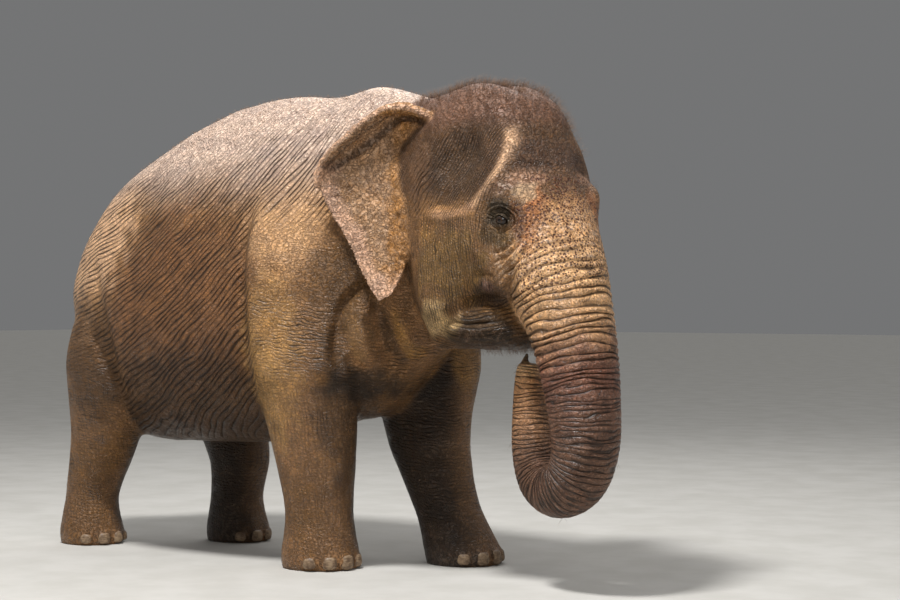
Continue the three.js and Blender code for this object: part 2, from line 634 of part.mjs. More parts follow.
/** One flat lock: four-sided rings along a bending path, broad fore and aft, thin sideways. */
function lock(root, lean, bend, sway, long) {
  const rings = [];
  for (let k = 0; k <= TUFT.steps; k += 1) {
    const share = k / TUFT.steps;
    const drop = long * share;
    const slope = lean + bend * share;
    const centre = new THREE.Vector3(
      root.x + Math.sin(lean + bend * share * 0.5) * drop,
      root.y + Math.sin(sway) * drop,
      root.z - Math.cos(lean) * drop,
    );
    const broad = new THREE.Vector3(Math.cos(slope), 0, Math.sin(slope));
    const width = TUFT.wide * Math.max(0.08, Math.sin(Math.PI * (0.3 + 0.68 * share)) ** 0.8);
    const half = TUFT.thick * (1 - 0.75 * share);
    rings.push([
      centre.clone().addScaledVector(broad, width), centre.clone().add(new THREE.Vector3(0, half, 0)),
      centre.clone().addScaledVector(broad, -width), centre.clone().add(new THREE.Vector3(0, -half, 0)),
    ]);
  }
  return toSolid(loft(rings));
}

/** The tail's bristles, in locks on its front and rear edges that fan out and overlap. */
function tuftLocks() {
  const random = seededRandom(TUFT.seed);
  const locks = [];
  for (let i = 0; i < TUFT.locks; i += 1) {
    const row = i % 2 === 0 ? 1 : -1;
    const share = i / (TUFT.locks - 1);
    const root = tailCurve.getPointAt(THREE.MathUtils.lerp(TAIL.tuftAt + 0.04, 0.985, share));
    const lean = row * TUFT.spread * (1 - 0.75 * share) * (0.7 + 0.5 * random());
    const bend = -0.5 * lean + 0.2 * (random() - 0.5);
    const sway = 0.16 * (random() - 0.5);
    locks.push(lock(root, lean, bend, sway, TUFT.long * (0.78 + 0.35 * random())));
  }
  return locks;
}

// ---------------------------------------------------------------- assembly
const animal = new THREE.Group();
function addPart(name, geometry, material) {
  const mesh = new THREE.Mesh(geometry, material);
  mesh.name = name;
  animal.add(mesh);
}

const torsoCut = clearOf('torso_hind', 'torso_fore', 'neck');
const headCut = clearOf('head', 'neck', 'trunk_1');
const plainHead = bodyLength(bodyPart('head'));
const plainHeadMesh = new THREE.Mesh(plainHead, new THREE.MeshBasicMaterial({ side: THREE.DoubleSide }));
const seats = { right: eyeSeat(-1, plainHeadMesh), left: eyeSeat(1, plainHeadMesh) };
const jawChain = new Chain(JAW_STATIONS);
const jawLength = (grow) => chainLength(
  jawChain, 0, JAW_STATIONS.length - 1, 8, 20, { grow, shape: false },
).translate(-NECK_PIVOT_X, 0, 0).rotateZ(HEAD_TURN).translate(NECK_PIVOT_X, 0, 0);

const special = {
  head: () => {
    let solid = toSolid(plainHead);
    for (const seat of Object.values(seats)) {
      for (const lid of lids(seat)) solid = solid.add(lid);
      solid = solid.subtract(toSolid(eyeBall(seat, EYE.radius + GAP)));
    }
    return fromSolid(solid.subtract(toSolid(jawLength(CUT_CLEARANCE))));
  },
  trunk_5: () => {
    const { centre, top, along, up } = bodyChain.frame(placeOf('trunkTip'));
    let solid = toSolid(bodyLength(bodyPart('trunk_5')));
    const fingerPath = [-0.9, 0, 0.5, 1].map((share) => turned(centre.clone()
      .addScaledVector(along, share * FINGER.long)
      .addScaledVector(top, up - FINGER.inset - FINGER.hook * Math.max(share, 0) ** 2)));
    solid = solid.add(toSolid(tube(fingerPath, (t) => FINGER.radius * (1 - 0.6 * t), 6, 8, FINGER.broad)));
    for (const side of [1, -1]) {
      const path = [8, -20, -50, -NOSTRIL.depth].map((step) => turned(centre.clone()
        .addScaledVector(along, step).add(new THREE.Vector3(0, side * NOSTRIL.apart, 0))));
      solid = solid.subtract(toSolid(tube(path, (t) => NOSTRIL.radius * (1 - 0.4 * t), 5, 8)));
    }
    return fromSolid(solid);
  },
};
for (const length of BODY_LENGTHS) {
  addPart(length.name, special[length.name]?.() ?? bodyLength(length), length.hide);
}
for (const leg of LEGS) {
  for (const [name, geometry, material] of buildLeg(leg, torsoCut)) addPart(name, geometry, material);
}
addPart('lower_jaw', fromSolid(toSolid(jawLength(0)).subtract(clearOf('trunk_1', 'neck'))), FACE_HIDE);

for (const [name, side] of [['right', -1], ['left', 1]]) {
  addPart(`ear_${name}`, buildEar(side, headCut, plainHeadMesh), EAR_HIDE);
  addPart(`eye_${name}`, eyeBall(seats[name], EYE.radius), EYE_GLOSS);
}

addPart('tail_upper', fromSolid(toSolid(tailLength(0, TAIL.splitAt, 8, 12)).subtract(torsoCut)), HIDE);
addPart('tail_lower', tailLength(TAIL.splitAt, TAIL.tuftAt, 5, 12), HIDE);
const tuftCore = toSolid(tailLength(TAIL.tuftAt, 1, 4, 10));
addPart('tail_tuft', fromSolid(tuftLocks().reduce((all, lock) => all.add(lock), tuftCore)), TUFT_HAIR);

// The origin is on the ground, under the middle of the whole figure.
const box = new THREE.Box3().setFromObject(animal);
animal.position.set(-(box.min.x + box.max.x) / 2, -(box.min.y + box.max.y) / 2, 0);
animal.updateMatrixWorld(true);

export default animal;
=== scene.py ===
"""Asian elephant cow at life size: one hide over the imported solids, with eyes, toenails and hair."""
import logging
import math
from dataclasses import dataclass, field
from enum import Enum
from itertools import product
from typing import Callable

import bmesh
import bpy
import numpy as np
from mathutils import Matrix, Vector
from mathutils.bvhtree import BVHTree


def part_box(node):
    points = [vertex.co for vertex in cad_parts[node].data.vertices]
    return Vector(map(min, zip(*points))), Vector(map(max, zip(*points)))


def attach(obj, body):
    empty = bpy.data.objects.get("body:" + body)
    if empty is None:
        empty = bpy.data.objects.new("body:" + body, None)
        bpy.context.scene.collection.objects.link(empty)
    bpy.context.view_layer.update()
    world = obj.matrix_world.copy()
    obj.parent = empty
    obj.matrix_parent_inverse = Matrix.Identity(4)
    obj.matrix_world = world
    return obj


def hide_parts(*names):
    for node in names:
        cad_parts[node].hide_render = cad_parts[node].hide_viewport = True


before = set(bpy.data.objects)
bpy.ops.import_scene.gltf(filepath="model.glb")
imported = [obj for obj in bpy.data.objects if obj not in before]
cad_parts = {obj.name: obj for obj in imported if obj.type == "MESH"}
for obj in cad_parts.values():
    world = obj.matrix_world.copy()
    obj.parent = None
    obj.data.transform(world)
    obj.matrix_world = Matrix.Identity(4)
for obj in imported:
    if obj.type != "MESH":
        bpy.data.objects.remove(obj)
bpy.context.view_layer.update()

LOG = logging.getLogger("elephant")
Array = np.ndarray
Object = bpy.types.Object
Material = bpy.types.Material
Socket = bpy.types.NodeSocket
SIDES = ("right", "left")


# ---------------- small tools
def rise(value: Array, start: float, end: float) -> Array:
    """Smooth step from 0 at start to 1 at end; start may lie above end."""
    share = np.clip((value - start) / (end - start), 0.0, 1.0)
    return share * share * (3.0 - 2.0 * share)


def hill(value: Array, centre: float, fade: float) -> Array:
    """A bell of height 1 round a centre."""
    return np.exp(-(((value - centre) / fade) ** 2))


def unit(vectors: Array) -> Array:
    """Vectors of length 1 along the last axis."""
    return vectors / np.maximum(np.linalg.norm(vectors, axis=-1, keepdims=True), 1e-9)


def tone(code: str) -> Array:
    """The linear colour of a six-figure sRGB code."""
    value = np.array([int(code[i:i + 2], 16) for i in (0, 2, 4)]) / 255.0
    return np.where(value <= 0.04045, value / 12.92, ((value + 0.055) / 1.055) ** 2.4)


@dataclass(frozen=True)
class Span:
    """A stretch of a measure over which a share goes from 0 to 1; start may lie above end."""

    start: float
    end: float

    def __call__(self, value: Array) -> Array:
        """The share at each value."""
        return rise(value, self.start, self.end)


@dataclass(frozen=True)
class Bell:
    """A bell of height 1 round a middle, with how far it fades to each side."""

    middle: float
    fade: float

    def __call__(self, value: Array) -> Array:
        """The bell's height at each value."""
        return hill(value, self.middle, self.fade)


def smooth_path(points: Array, steps: int) -> Array:
    """Points along a smooth curve that passes through every given point.

    Args:
        points: the given points, one a row.
        steps: how many points to give between two of them.

    Returns:
        The curve's points, the last given point included.
    """
    padded = np.vstack([2 * points[0] - points[1], points, 2 * points[-1] - points[-2]])
    out = []
    for i in range(1, len(padded) - 2):
        before, here, there, after = padded[i - 1:i + 3]
        for k in range(steps):
            t = k / steps
            out.append(here + 0.5 * t * (there - before + t * (
                2 * before - 5 * here + 4 * there - after + t * (3 * (here - there) + after - before))))
    out.append(points[-1])
    return np.array(out)


def nearest_on(path: Array, points: Array) -> tuple[Array, Array, Array]:
    """How points lie to a path of short straight pieces.

    Args:
        path: the path's points.
        points: the points to measure.

    Returns:
        The distance of each point, the length of path before its nearest place, and how far the
        point lies ahead of that place along x.
    """
    run = np.concatenate([[0.0], np.cumsum(np.linalg.norm(np.diff(path, axis=0), axis=1))])
    best = np.full(len(points), np.inf)
    along = np.zeros(len(points))
    ahead = np.zeros(len(points))
    for start, end, before in zip(path[:-1], path[1:], run[:-1]):
        step = end - start
        length = np.linalg.norm(step)
        share = np.clip((points - start) @ step / length**2, 0.0, 1.0)
        offset = points - start - share[:, None] * step
        gap = np.linalg.norm(offset, axis=1)
        nearer = gap < best
        best[nearer] = gap[nearer]
        along[nearer] = before + share[nearer] * length
        ahead[nearer] = offset[nearer, 0]
    return best, along, ahead


class Noise:
    """Smooth seeded noise in space, about -1 to 1."""

    height: float = 1.6

    def __init__(self, seed: int) -> None:
        """Draws the noise's slopes from a seed."""
        draw = np.random.default_rng(seed)
        self.order = draw.permutation(256)
        self.slopes = unit(draw.normal(size=(256, 3)))

    def __call__(self, places: Array) -> Array:
        """The noise at each place.

        Args:
            places: the places, one a row, in cells of the noise.

        Returns:
            One value for each place.
        """
        cell = np.floor(places).astype(np.int64)
        part = places - cell
        ease = part**3 * (part * (part * 6 - 15) + 10)
        total = np.zeros(len(places))
        for corner in product((0, 1), repeat=3):
            pick = np.zeros(len(places), dtype=np.int64)
            for k, d in enumerate(corner):
                pick = self.order[(pick + cell[:, k] + d) & 255]
            slope = self.slopes[pick]
            value = sum(slope[:, k] * (part[:, k] - d) for k, d in enumerate(corner))
            for k, d in enumerate(corner):
                value = value * (ease[:, k] if d else 1 - ease[:, k])
            total += value
        return self.height * total


# ---------------- the animal's measures
class Region(Enum):
    """Regions of the hide, each with the solids it lies on."""

    BODY = ("torso_hind", "torso_fore", "neck")
    HEAD = ("head", "lower_jaw")
    TRUNK = ("trunk_1", "trunk_2", "trunk_3", "trunk_4", "trunk_5")
    EAR = ("ear_right", "ear_left")
    FORELEG = ("foreleg_upper_right", "foreleg_lower_right", "foreleg_upper_left", "foreleg_lower_left")
    HINDLEG = ("hindleg_upper_right", "hindleg_lower_right", "hindleg_upper_left", "hindleg_lower_left")
    FOOT = ("forefoot_right", "forefoot_left", "hindfoot_right", "hindfoot_left")
    TAIL = ("tail_upper", "tail_lower")


@dataclass(frozen=True)
class Measures:
    """Named places of the animal, in metres along its own axes: x ahead, y to its left, z up."""

    neck_pivot_x: float = 1.0
    head_turn: float = math.radians(-13)
    foot_x: float = 0.578
    sole_half: float = 0.192
    nail_reach: float = 0.013
    trunk_tip: tuple = (1.766, 0.0, 1.02)
    trunk_axis: tuple = (
        (1.762, 1.68), (1.812, 1.61), (1.872, 1.52), (1.935, 1.42), (1.992, 1.32), (2.05, 1.17),
        (2.098, 0.99), (2.127, 0.82), (2.138, 0.65), (2.082, 0.505), (1.962, 0.442), (1.852, 0.49),
        (1.796, 0.62), (1.772, 0.78), (1.762, 0.92), (1.766, 1.01),
    )
    hanging: int = 9
    trunk_steps: int = 8

    def shift(self) -> float:
        """How far the frame lies from the animal's own x."""
        _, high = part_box("forefoot_right")
        return high[0] - self.nail_reach - self.sole_half - self.foot_x

    def to_head(self, points: Array) -> Array:
        """Points seen from the head before it turned about the neck's plumb line.

        Args:
            points: points in the animal's axes, one a row.

        Returns:
            The same points in the axes of the unturned head.
        """
        c, s = math.cos(-self.head_turn), math.sin(-self.head_turn)
        x = points[:, 0] - self.neck_pivot_x
        y = points[:, 1]
        return np.column_stack([self.neck_pivot_x + c * x - s * y, s * x + c * y, points[:, 2]])

    def trunk_path(self) -> Array:
        """The middle line of the trunk before the head turned."""
        return smooth_path(np.array([(x, 0.0, z) for x, z in self.trunk_axis]), self.trunk_steps)

    def trunk_middle(self, height: Array) -> Array:
        """How far ahead the hanging length of trunk has its middle, at each height."""
        axis = np.array(self.trunk_axis[:self.hanging])
        return np.interp(height, axis[::-1, 1], axis[::-1, 0])


def to_frame(points: Array, shift: float) -> Array:
    """Points of the animal's own axes in the frame's."""
    return points + np.array([shift, 0.0, 0.0])


# ---------------- meshes
@dataclass
class QuadMesh:
    """Points with four-cornered faces, and the points that finer neighbours add on their edges."""

    points: Array
    corners: Array
    middles: Array = field(default=None)

    def __post_init__(self) -> None:
        """Starts with no edge split."""
        if self.middles is None:
            self.middles = np.full(self.corners.shape, -1)

    def edges(self) -> Array:
        """Every edge once, as two columns of points."""
        a = self.corners
        pairs = np.vstack([a[:, [k, (k + 1) % 4]] for k in range(4)])
        key = np.unique(pairs.min(1) * len(self.points) + pairs.max(1))
        return np.column_stack([key // len(self.points), key % len(self.points)])

    def normals(self) -> Array:
        """Outward direction at each point.

        Returns:
            Vectors of length 1.
        """
        p = self.points[self.corners]
        face = np.cross(p[:, 2] - p[:, 0], p[:, 3] - p[:, 1])
        total = np.zeros_like(self.points)
        for k in range(4):
            for axis in range(3):
                total[:, axis] += np.bincount(
                    self.corners[:, k], weights=face[:, axis], minlength=len(self.points))
        return unit(total)

    def spreader(self) -> Callable[[Array, Array], Array]:
        """Prepares the blending of values at the points with those of their neighbours.

        Returns:
            The function that blends once.
        """
        edges = self.edges()
        count = len(self.points)
        first, second = edges[:, 0], edges[:, 1]
        degree = np.bincount(first, minlength=count) + np.bincount(second, minlength=count)
        degree = np.maximum(degree, 1)[:, None]

        def spread(values: Array, share: Array) -> Array:
            """Moves each row of values by its share of the way towards its neighbours' mean."""
            total = np.empty_like(values)
            for k in range(values.shape[1]):
                column = values[:, k]
                total[:, k] = (np.bincount(first, weights=column[second], minlength=count)
                               + np.bincount(second, weights=column[first], minlength=count))
            return values + share * (total / degree - values)

        return spread

    def refine(self, chosen: Array, values: Array) -> tuple["QuadMesh", Array]:
        """Splits chosen faces in four; their plain neighbours take up the new edge points.

        Args:
            chosen: for each face, whether it is split.
            values: one row for each point, carried on to the new points.

        Returns:
            The finer mesh and its values.
        """
        count = len(self.points)
        chosen = chosen & (self.middles < 0).all(1)
        sides = np.stack([self.corners, np.roll(self.corners, -1, axis=1)], axis=2)
        keys = sides.min(2) * count + sides.max(2)
        split = np.unique(keys[chosen])
        place = np.minimum(np.searchsorted(split, keys), len(split) - 1)
        on_split = split[place] == keys
        middle = np.where(on_split, count + place, -1)
        if (on_split & (self.middles >= 0)).any():
            raise ValueError("a finer patch may not touch the edge of the last one")
        joined = np.column_stack([self.points, values])
        edge_values = (joined[split // count] + joined[split % count]) / 2
        picked = self.corners[chosen]
        centre_values = joined[picked].mean(1)
        centre = count + len(split) + np.arange(len(picked))
        m = middle[chosen]
        quads = [np.column_stack([picked[:, k], m[:, k], centre, m[:, k - 1]]) for k in range(4)]
        everything = np.vstack([joined, edge_values, centre_values])
        rest = ~chosen
        kept_middles = np.where(middle[rest] >= 0, middle[rest], self.middles[rest])
        corners = np.vstack([self.corners[rest], *quads])
        middles = np.vstack([kept_middles, np.full((4 * len(picked), 4), -1)])
        return QuadMesh(everything[:, :3], corners, middles), everything[:, 3:]

    def to_object(self, name: str, shift: float) -> Object:
        """Makes a Blender object of this mesh, in the frame's place.

        Args:
            name: the object's name.
            shift: how far the frame lies from the animal's own x.

        Returns:
            The object.
        """
        loops = np.empty((len(self.corners), 8), dtype=np.int64)
        loops[:, 0::2] = self.corners
        loops[:, 1::2] = self.middles
        used = loops >= 0
        return object_from(name, to_frame(self.points, shift), loops[used], used.sum(1))


def object_from(name: str, points: Array, loops: Array, totals: Array) -> Object:
    """A smooth-shaded Blender object from faces of any number of corners.

    Args:
        name: the object's name.
        points: the points, one a row.
        loops: the corners of all faces in one row.
        totals: how many corners each face has.

    Returns:
        The object, linked to the scene.
    """
    mesh = bpy.data.meshes.new(name)
    mesh.vertices.add(len(points))
    mesh.vertices.foreach_set("co", points.astype(np.float32).ravel())
    mesh.loops.add(len(loops))
    mesh.loops.foreach_set("vertex_index", loops.astype(np.int32))
    mesh.polygons.add(len(totals))
    starts = np.concatenate([[0], np.cumsum(totals)[:-1]])
    mesh.polygons.foreach_set("loop_start", starts.astype(np.int32))
    mesh.polygons.foreach_set("use_smooth", np.ones(len(totals), dtype=bool))
    mesh.update(calc_edges=True)
    mesh.validate()
    made = bpy.data.objects.new(name, mesh)
    bpy.context.scene.collection.objects.link(made)
    return made


def ring_loops(rings: int, sides: int, start: int = 0) -> list[int]:
    """The faces between rings of points that follow one another.

    Args:
        rings: how many rings there are.
        sides: how many points each ring has.
        start: the first point of the first ring.

    Returns:
        The corners of all faces in one row, four a face.
    """
    loops = []
    for low in range(start, start + (rings - 1) * sides, sides):
        for k in range(sides):
            a, b = low + k, low + (k + 1) % sides
            loops += [a, a + sides, b + sides, b]
    return loops


def add_attribute(made: Object, name: str, kind: str, values: Array) -> None:
    """Stores one row of numbers a point on a mesh.

    Args:
        made: the object.
        name: the attribute's name.
        kind: FLOAT, FLOAT_VECTOR or FLOAT_COLOR.
        values: the numbers, one row a point.
    """
    layer = made.data.attributes.new(name, kind, "POINT")
    key = {"FLOAT": "value", "FLOAT_VECTOR": "vector", "FLOAT_COLOR": "color"}[kind]
    layer.data.foreach_set(key, values.astype(np.float32).ravel())


def weld(made: Object, gap: float = 1e-6) -> None:
    """Joins points that lie on one another, drops faces that this closes and turns faces outward.

    Args:
        made: the object.
        gap: the widest gap that is joined, in metres.
    """
    work = bmesh.new()
    work.from_mesh(made.data)
    bmesh.ops.remove_doubles(work, verts=work.verts, dist=gap)
    bmesh.ops.recalc_face_normals(work, faces=work.faces)
    work.to_mesh(made.data)
    work.free()


# ---------------- node materials
Value = float | tuple | Socket


class Shade:
    """A short way to write a node material."""

    def __init__(self, name: str) -> None:
        """Starts a material of this name with one Principled shader."""
        self.material = bpy.data.materials.new(name)
        self.material.use_nodes = True
        self.tree = self.material.node_tree
        self.shader = self.tree.nodes["Principled BSDF"]

    def node(self, kind: str, settings: dict | None = None, **inputs: Value) -> bpy.types.Node:
        """Makes a node.

        Args:
            kind: the node's type.
            settings: its settings.
            inputs: its inputs, as numbers or sockets; an underscore stands for a space.

        Returns:
            The node.
        """
        made = self.tree.nodes.new(kind)
        for key, value in (settings or {}).items():
            setattr(made, key, value)
        self._fill(made, inputs)
        return made

    def _fill(self, node: bpy.types.Node, inputs: dict[str, Value]) -> None:
        """Sets a node's inputs by name; an underscore stands for a space."""
        for key, value in inputs.items():
            self.give(node.inputs[key.replace("_", " ")], value)

    def give(self, socket: Socket, value: Value) -> None:
        """Sets an input to a number, a colour or another node's socket."""
        if isinstance(value, Socket):
            self.tree.links.new(value, socket)
        else:
            socket.default_value = value

    def finish(self, **inputs: Value) -> Material:
        """The material, with its shader's inputs set as a node's are."""
        self._fill(self.shader, inputs)
        return self.material

    def read(self, name: str, output: str = "Vector") -> Socket:
        """A stored attribute of the mesh."""
        return self.node("ShaderNodeAttribute", {"attribute_name": name}).outputs[output]

    def split(self, name: str) -> list[Socket]:
        """The three numbers of a stored vector."""
        return list(self.node("ShaderNodeSeparateXYZ", Vector=self.read(name)).outputs)

    def math(self, kind: str, first: Value, second: Value = 0.5, third: Value = 0.0) -> Socket:
        """Works out one sum.

        Args:
            kind: the operation.
            first: its first number or socket.
            second: its second.
            third: its third, where the operation has one.

        Returns:
            The result's socket.
        """
        made = self.node("ShaderNodeMath", {"operation": kind})
        for socket, value in zip(made.inputs, (first, second, third)):
            self.give(socket, value)
        return made.outputs[0]

    def times(self, first: Value, second: Value, *others: Value) -> Socket:
        """Numbers or sockets multiplied."""
        made = self.math("MULTIPLY", first, second)
        return self.times(made, *others) if others else made

    def ramp(self, value: Value, start: float, end: float, low: float = 0.0,
             high: float = 1.0) -> Socket:
        """Takes a value through a smooth step.

        Args:
            value: the value.
            start: where the step starts.
            end: where it ends.
            low: the result at the start.
            high: the result at the end.

        Returns:
            The result's socket.
        """
        made = self.node("ShaderNodeMapRange", {"interpolation_type": "SMOOTHSTEP"}, Value=value)
        for key, number in zip(("From Min", "From Max", "To Min", "To Max"), (start, end, low, high)):
            made.inputs[key].default_value = number
        return made.outputs[0]

    def mix(self, share: Value, first: Value, second: Value, kind: str = "MIX") -> Socket:
        """Mixes two colours.

        Args:
            share: how much of the second there is.
            first: the first colour.
            second: the second colour.
            kind: how they are mixed.

        Returns:
            The mixed colour's socket.
        """
        made = self.tree.nodes.new("ShaderNodeMix")
        made.data_type = "RGBA"
        made.blend_type = kind
        for place, value in ((0, share), (6, first), (7, second)):
            self.give(made.inputs[place], value)
        return made.outputs[2]

    def scaled(self, tint: Value, red: Value, green: Value, blue: Value) -> Socket:
        """A colour with each of its channels multiplied."""
        factors = self.node("ShaderNodeCombineColor", Red=red, Green=green, Blue=blue)
        return self.mix(1.0, tint, factors.outputs[0], "MULTIPLY")

    def here(self) -> Socket:
        """The place on the object."""
        return self.node("ShaderNodeTexCoord").outputs["Object"]

    def noise(self, place: Value, scale: float, detail: float = 3.0, rough: float = 0.6) -> Socket:
        """Noise at a place, from 0 to 1."""
        made = self.node("ShaderNodeTexNoise", Vector=place, Scale=scale, Detail=detail, Roughness=rough)
        return made.outputs[0]

    def cells(self, place: Value, scale: float) -> Socket:
        """Distance from the middles of a field of cells."""
        return self.node("ShaderNodeTexVoronoi", Vector=place, Scale=scale).outputs["Distance"]

    def bump(self, height: Value, depth: float, below: Value | None = None,
             strength: float = 1.0) -> Socket:
        """Makes a bump.

        Args:
            height: the height, from 0 to 1.
            depth: how far a height of 1 reaches, in metres.
            below: the bump it lies on, if any.
            strength: how strongly it shows.

        Returns:
            The socket of the bent normal.
        """
        made = self.node("ShaderNodeBump", Strength=strength, Distance=depth, Height=height)
        if below is not None:
            self.give(made.inputs["Normal"], below)
        return made.outputs[0]


def colour(code: str) -> tuple:
    """A socket's colour from a six-figure sRGB code."""
    return (*tone(code), 1.0)


# ---------------- folds
@dataclass(frozen=True)
class Fold:
    """A ridge, a groove or the edge of a raised form, along a line seen from the side.

    The line lists x and height. A reach above 0 makes an edge: all that lies ahead of the line
    within the reach is raised, highest at the line, with a groove behind it. On the animal's left
    the fold's foot lies further ahead by the last number, and None leaves it out there.
    """

    name: str
    line: tuple
    wide: float
    lift: float
    reach: float = 0.0
    left: float | None = 0.0

    NOWHERE = -9.0
    PATH_STEPS = 4
    LEFT_FOOT = Span(1.75, 1.1)
    END = 0.25
    END_LIFT = 0.3
    GROOVE_DEEP, GROOVE_BEHIND, GROOVE_WIDE = 0.45, 1.3, 1.6

    def height(self, places: Array, on_left: Array) -> Array:
        """How far the fold lifts the skin.

        Args:
            places: x and height of each point.
            on_left: which points lie on the animal's left.

        Returns:
            The lift of each point, in metres.
        """
        if self.left is None:
            places = np.where(on_left[:, None], self.NOWHERE, places)
        elif self.left:
            forward = np.where(on_left, self.left * self.LEFT_FOOT(places[:, 1]), 0.0)
            places = places - np.column_stack([forward, np.zeros(len(places))])
        path = smooth_path(np.array(self.line), self.PATH_STEPS)
        away, along, ahead = nearest_on(path, places)
        whole = np.linalg.norm(np.diff(path, axis=0), axis=1).sum()
        ends = rise(along, 0.0, self.END * whole) * rise(along, whole, (1 - self.END) * whole)
        if self.reach == 0.0:
            return self.lift * hill(away, 0.0, self.wide) * (self.END_LIFT + (1 - self.END_LIFT) * ends)
        signed = np.where(ahead > 0, away, -away)
        edge = 0.5 + 0.5 * np.tanh(signed / self.wide)
        groove = hill(signed, -self.GROOVE_BEHIND * self.wide, self.GROOVE_WIDE * self.wide)
        return self.lift * ends * (edge * hill(signed, 0.0, self.reach) - self.GROOVE_DEEP * groove)


HEAD_FOLDS = (
    Fold("brow ridge", ((1.862, 2.04), (1.872, 1.965), (1.866, 1.905), (1.85, 1.85), (1.815, 1.78),
         (1.74, 1.698)), 0.034, 0.018),
    Fold("cheekbone ridge", ((1.76, 1.7), (1.7, 1.672), (1.614, 1.658), (1.5, 1.668),
         (1.42, 1.7)), 0.032, 0.011),
    Fold("temple hollow", ((1.76, 1.965), (1.68, 1.95), (1.59, 1.9), (1.52, 1.8)), 0.085, -0.019),
    Fold("brow hollow", ((1.945, 1.9), (1.93, 1.83)), 0.04, -0.01),
    Fold("cheek rear", ((1.4, 1.6), (1.372, 1.4), (1.352, 1.24), (1.352, 1.13)), 0.011, 0.018, 0.1),
    Fold("cheek hem", ((1.35, 1.13), (1.385, 1.108), (1.44, 1.1)), 0.014, 0.012),
    Fold("cheek fill", ((1.4, 1.27), (1.48, 1.255), (1.56, 1.245)), 0.05, 0.014),
    Fold("mouth fold", ((1.615, 1.27), (1.66, 1.287), (1.725, 1.296), (1.79, 1.285), (1.83, 1.255)),
         0.012, -0.026),
    Fold("mouth corner", ((1.78, 1.3), (1.815, 1.292), (1.85, 1.275)), 0.022, -0.016),
    Fold("lip knob", ((1.735, 1.345), (1.79, 1.35)), 0.03, 0.018),
    Fold("knob fold", ((1.69, 1.385), (1.75, 1.402), (1.82, 1.385)), 0.012, -0.009),
    Fold("lip roll", ((1.59, 1.225), (1.67, 1.235), (1.76, 1.235), (1.815, 1.215)), 0.022, 0.007),
    Fold("jaw fold above", ((1.47, 1.205), (1.58, 1.182), (1.69, 1.18), (1.8, 1.19)), 0.012, -0.012),
    Fold("jaw fold below", ((1.44, 1.15), (1.56, 1.128), (1.68, 1.125), (1.79, 1.14)), 0.011, -0.01),
    Fold("sheath crease", ((1.935, 1.47), (1.912, 1.39), (1.88, 1.3), (1.85, 1.24)), 0.018, -0.016),
    Fold("tear fold", ((1.985, 1.6), (1.962, 1.53), (1.905, 1.48), (1.85, 1.452)), 0.011, -0.011),
    Fold("tear fold ahead", ((2.012, 1.57), (1.99, 1.495), (1.94, 1.44), (1.89, 1.405)), 0.01, -0.009),
    Fold("tear fold behind", ((1.95, 1.575), (1.925, 1.53), (1.875, 1.5), (1.825, 1.49)), 0.01, -0.009),
)

EAR_FOLDS = (
    Fold("under the roll", ((1.33, 2.072), (1.28, 2.11), (1.215, 2.122), (1.155, 2.088), (1.085, 2.03),
         (1.008, 1.96), (0.945, 1.9)), 0.017, -0.028),
    Fold("roll", ((1.36, 2.12), (1.293, 2.163), (1.219, 2.17), (1.139, 2.13), (1.058, 2.068),
         (0.976, 1.993), (0.913, 1.928), (0.878, 1.88)), 0.02, 0.015),
    Fold("margin", ((0.96, 1.84), (0.985, 1.72), (1.045, 1.6), (1.09, 1.48), (1.13, 1.39)),
         0.022, -0.008),
    Fold("front swell", ((1.23, 1.95), (1.245, 1.85), (1.25, 1.74), (1.245, 1.64)), 0.045, 0.01),
    Fold("middle hollow", ((1.13, 1.95), (1.12, 1.83), (1.14, 1.7)), 0.07, -0.012),
)

BODY_FOLDS = (
    Fold("shoulder edge", ((0.395, 1.86), (0.378, 1.7), (0.382, 1.523), (0.391, 1.333), (0.386, 1.142),
         (0.352, 0.95), (0.308, 0.76)), 0.024, 0.034, 0.26, 0.25),
    Fold("flank edge", ((-0.8, 1.64), (-0.762, 1.542), (-0.66, 1.336), (-0.59, 1.133), (-0.575, 0.93),
         (-0.625, 0.74)), 0.036, 0.022, 0.2, 0.32),
    Fold("hip ridge", ((-0.56, 1.86), (-0.613, 1.777), (-0.723, 1.593), (-0.79, 1.403), (-0.85, 1.182)),
         0.07, 0.014, 0.0, 0.32),
    Fold("shoulder crest", ((0.64, 1.76), (0.6, 1.568), (0.58, 1.426), (0.575, 1.285)),
         0.085, 0.02, 0.0, 0.3),
    Fold("arm crease", ((1.02, 1.44), (0.945, 1.375), (0.868, 1.3), (0.818, 1.22), (0.803, 1.11),
         (0.8, 0.98), (0.8, 0.88)), 0.022, -0.036, 0.0, None),
    Fold("arm edge", ((0.9, 1.29), (0.835, 1.23), (0.78, 1.13), (0.772, 1.0), (0.765, 0.87)),
         0.04, 0.016, 0.0, None),
    Fold("breast swell", ((0.935, 1.3), (0.905, 1.2), (0.89, 1.08), (0.88, 0.96)), 0.056, 0.062,
         0.0, None),
    Fold("breast crease", ((1.0, 1.3), (0.976, 1.238), (0.953, 1.097), (0.945, 0.96), (0.9, 0.84)),
         0.03, -0.036, 0.0, None),
    Fold("second breast swell", ((1.07, 1.3), (1.06, 1.14), (1.045, 1.0), (1.01, 0.86)),
         0.038, 0.042, 0.0, None),
    Fold("neck fold", ((0.48, 2.24), (0.462, 2.109), (0.425, 1.95), (0.395, 1.86)), 0.024, -0.012),
    Fold("neck fold ahead", ((0.64, 2.15), (0.6, 2.02), (0.545, 1.9), (0.5, 1.8)), 0.022, -0.008),
    Fold("shin ridge", ((0.668, 0.8), (0.64, 0.623), (0.622, 0.46)), 0.024, 0.01, 0.0, 0.44),
    Fold("stifle crease", ((-0.781, 1.131), (-0.7, 1.0), (-0.677, 0.83)), 0.02, -0.01, 0.0, 0.5),
)


